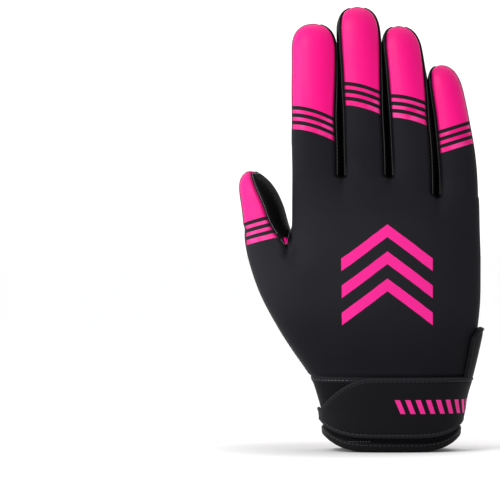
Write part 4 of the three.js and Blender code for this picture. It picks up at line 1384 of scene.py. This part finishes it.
# Rows of stitches, given by the piece they lie on and how far they keep from its seams
CORD_ABOVE_CROTCH = 1.4
for name, number, away in (("palm_topstitch", PALM, 2.5), ("cuff_topstitch", CUFF, 1.7)):
    stitches(name, lines_at(number, seam, away), dark_thread, "binding_tape", radius=0.2, lift=-0.06)
stitches("thumb_seam_cord", facing_front(lines_at(THUMB_GUSSET, seam, 0.7), 0.1), pale_thread,
         "binding_tape", length=1.6, gap=0.1, radius=0.16, lift=0.02)
# Corded edges of the strips, facing the front, in the painted highlight thread
cords = []
for number in FINGER_GUSSETS:
    lines = lines_at(number, seam, 1.1)
    cords += facing_front(lines, 0, border_z[number - 1] + CORD_ABOVE_CROTCH)
stitches("finger_strip_cords", cords, painted_highlight_thread, "binding_tape", length=1.9, gap=0.05,
         radius=0.2, lift=0.0)

# Floor, in metres. Its finish has a painted shadow, a darker pool under and beside the glove, in
# millimetres.
FLOOR_SIDE, FLOOR_FRONT, FLOOR_BACK = 40, -3, 60
SHADOW_X, SHADOW_Y, SHADOW_REACH_SQUARED, SHADOW_SOFT = -38, 10, (4200, 6000), 0.75


def add_floor():
    mesh = bpy.data.meshes.new("floor")
    corners = [(-FLOOR_SIDE, FLOOR_FRONT, 0), (FLOOR_SIDE, FLOOR_FRONT, 0),
               (FLOOR_SIDE, FLOOR_BACK, 0), (-FLOOR_SIDE, FLOOR_BACK, 0)]
    mesh.from_pydata(corners, [], [(0, 1, 2, 3)])
    floor = add_object("floor", mesh)
    paper = Finish("paper", Roughness=0.9, Specular_IOR_Level=0.1)
    x, y, _ = paper.place()
    dx, dy = x - SHADOW_X, y - SHADOW_Y
    away = (dx * dx / SHADOW_REACH_SQUARED[0] + dy * dy / SHADOW_REACH_SQUARED[1]).calc("SQRT")
    # Painted shadow: darker paper near the glove, white further away
    paper.show(Base_Color=paper.blend(away.step(1.0, SHADOW_SOFT), (0.61, 0.61, 0.61), (0.97, 0.97, 0.97)))
    mesh.materials.append(paper.material)


add_floor()

# A studio that is white behind and to the left, and dimmer in front and to the right
TO_RIGHT, TO_BACK, UPWARD, ALL_ROUND = -0.25, 0.50, 0.40, 0.75
world = bpy.data.worlds.new("studio")
bpy.context.scene.world = world
world.use_nodes = True
studio = world.node_tree
direction = studio.nodes.new("ShaderNodeTexCoord")
along = studio.nodes.new("ShaderNodeSeparateXYZ")
studio.links.new(direction.outputs["Generated"], along.inputs[0])
right, behind, above = [Field(studio, socket) for socket in along.outputs]
brightness = right * TO_RIGHT + behind * TO_BACK + above * UPWARD + ALL_ROUND
background = studio.nodes["Background"]
background.inputs["Color"].default_value = (1, 1, 1, 1)
studio.links.new(brightness.socket, background.inputs["Strength"])


def lamp(name, place, size, power):
    data = bpy.data.lights.new(name, "AREA")
    data.shape, data.size, data.energy = "DISK", size, power
    light = add_object(name, data)
    light.location = place
    light.rotation_euler = (Vector(LIT_SPOT) - Vector(place)).to_track_quat("-Z", "Y").to_euler()


LIT_SPOT = (-0.01, 0, 0.15)
lamp("key", (-0.45, -0.55, 0.60), 0.3, 3.9)
lamp("side", (-0.75, -0.2, 0.30), 0.16, 1.7)

# Camera at the photograph's view

LENS, CAMERA_X, CAMERA_Z, VIEW_WIDTH = 250, -0.0721, 0.102, 0.255
camera_data = bpy.data.cameras.new("camera")
camera_data.lens = LENS
camera = add_object("camera", camera_data)
camera.location = (CAMERA_X, -VIEW_WIDTH * LENS / camera_data.sensor_width, CAMERA_Z)
camera.rotation_euler = (math.pi / 2, 0, 0)
bpy.context.scene.camera = camera
bpy.context.scene.view_settings.view_transform = "Standard"
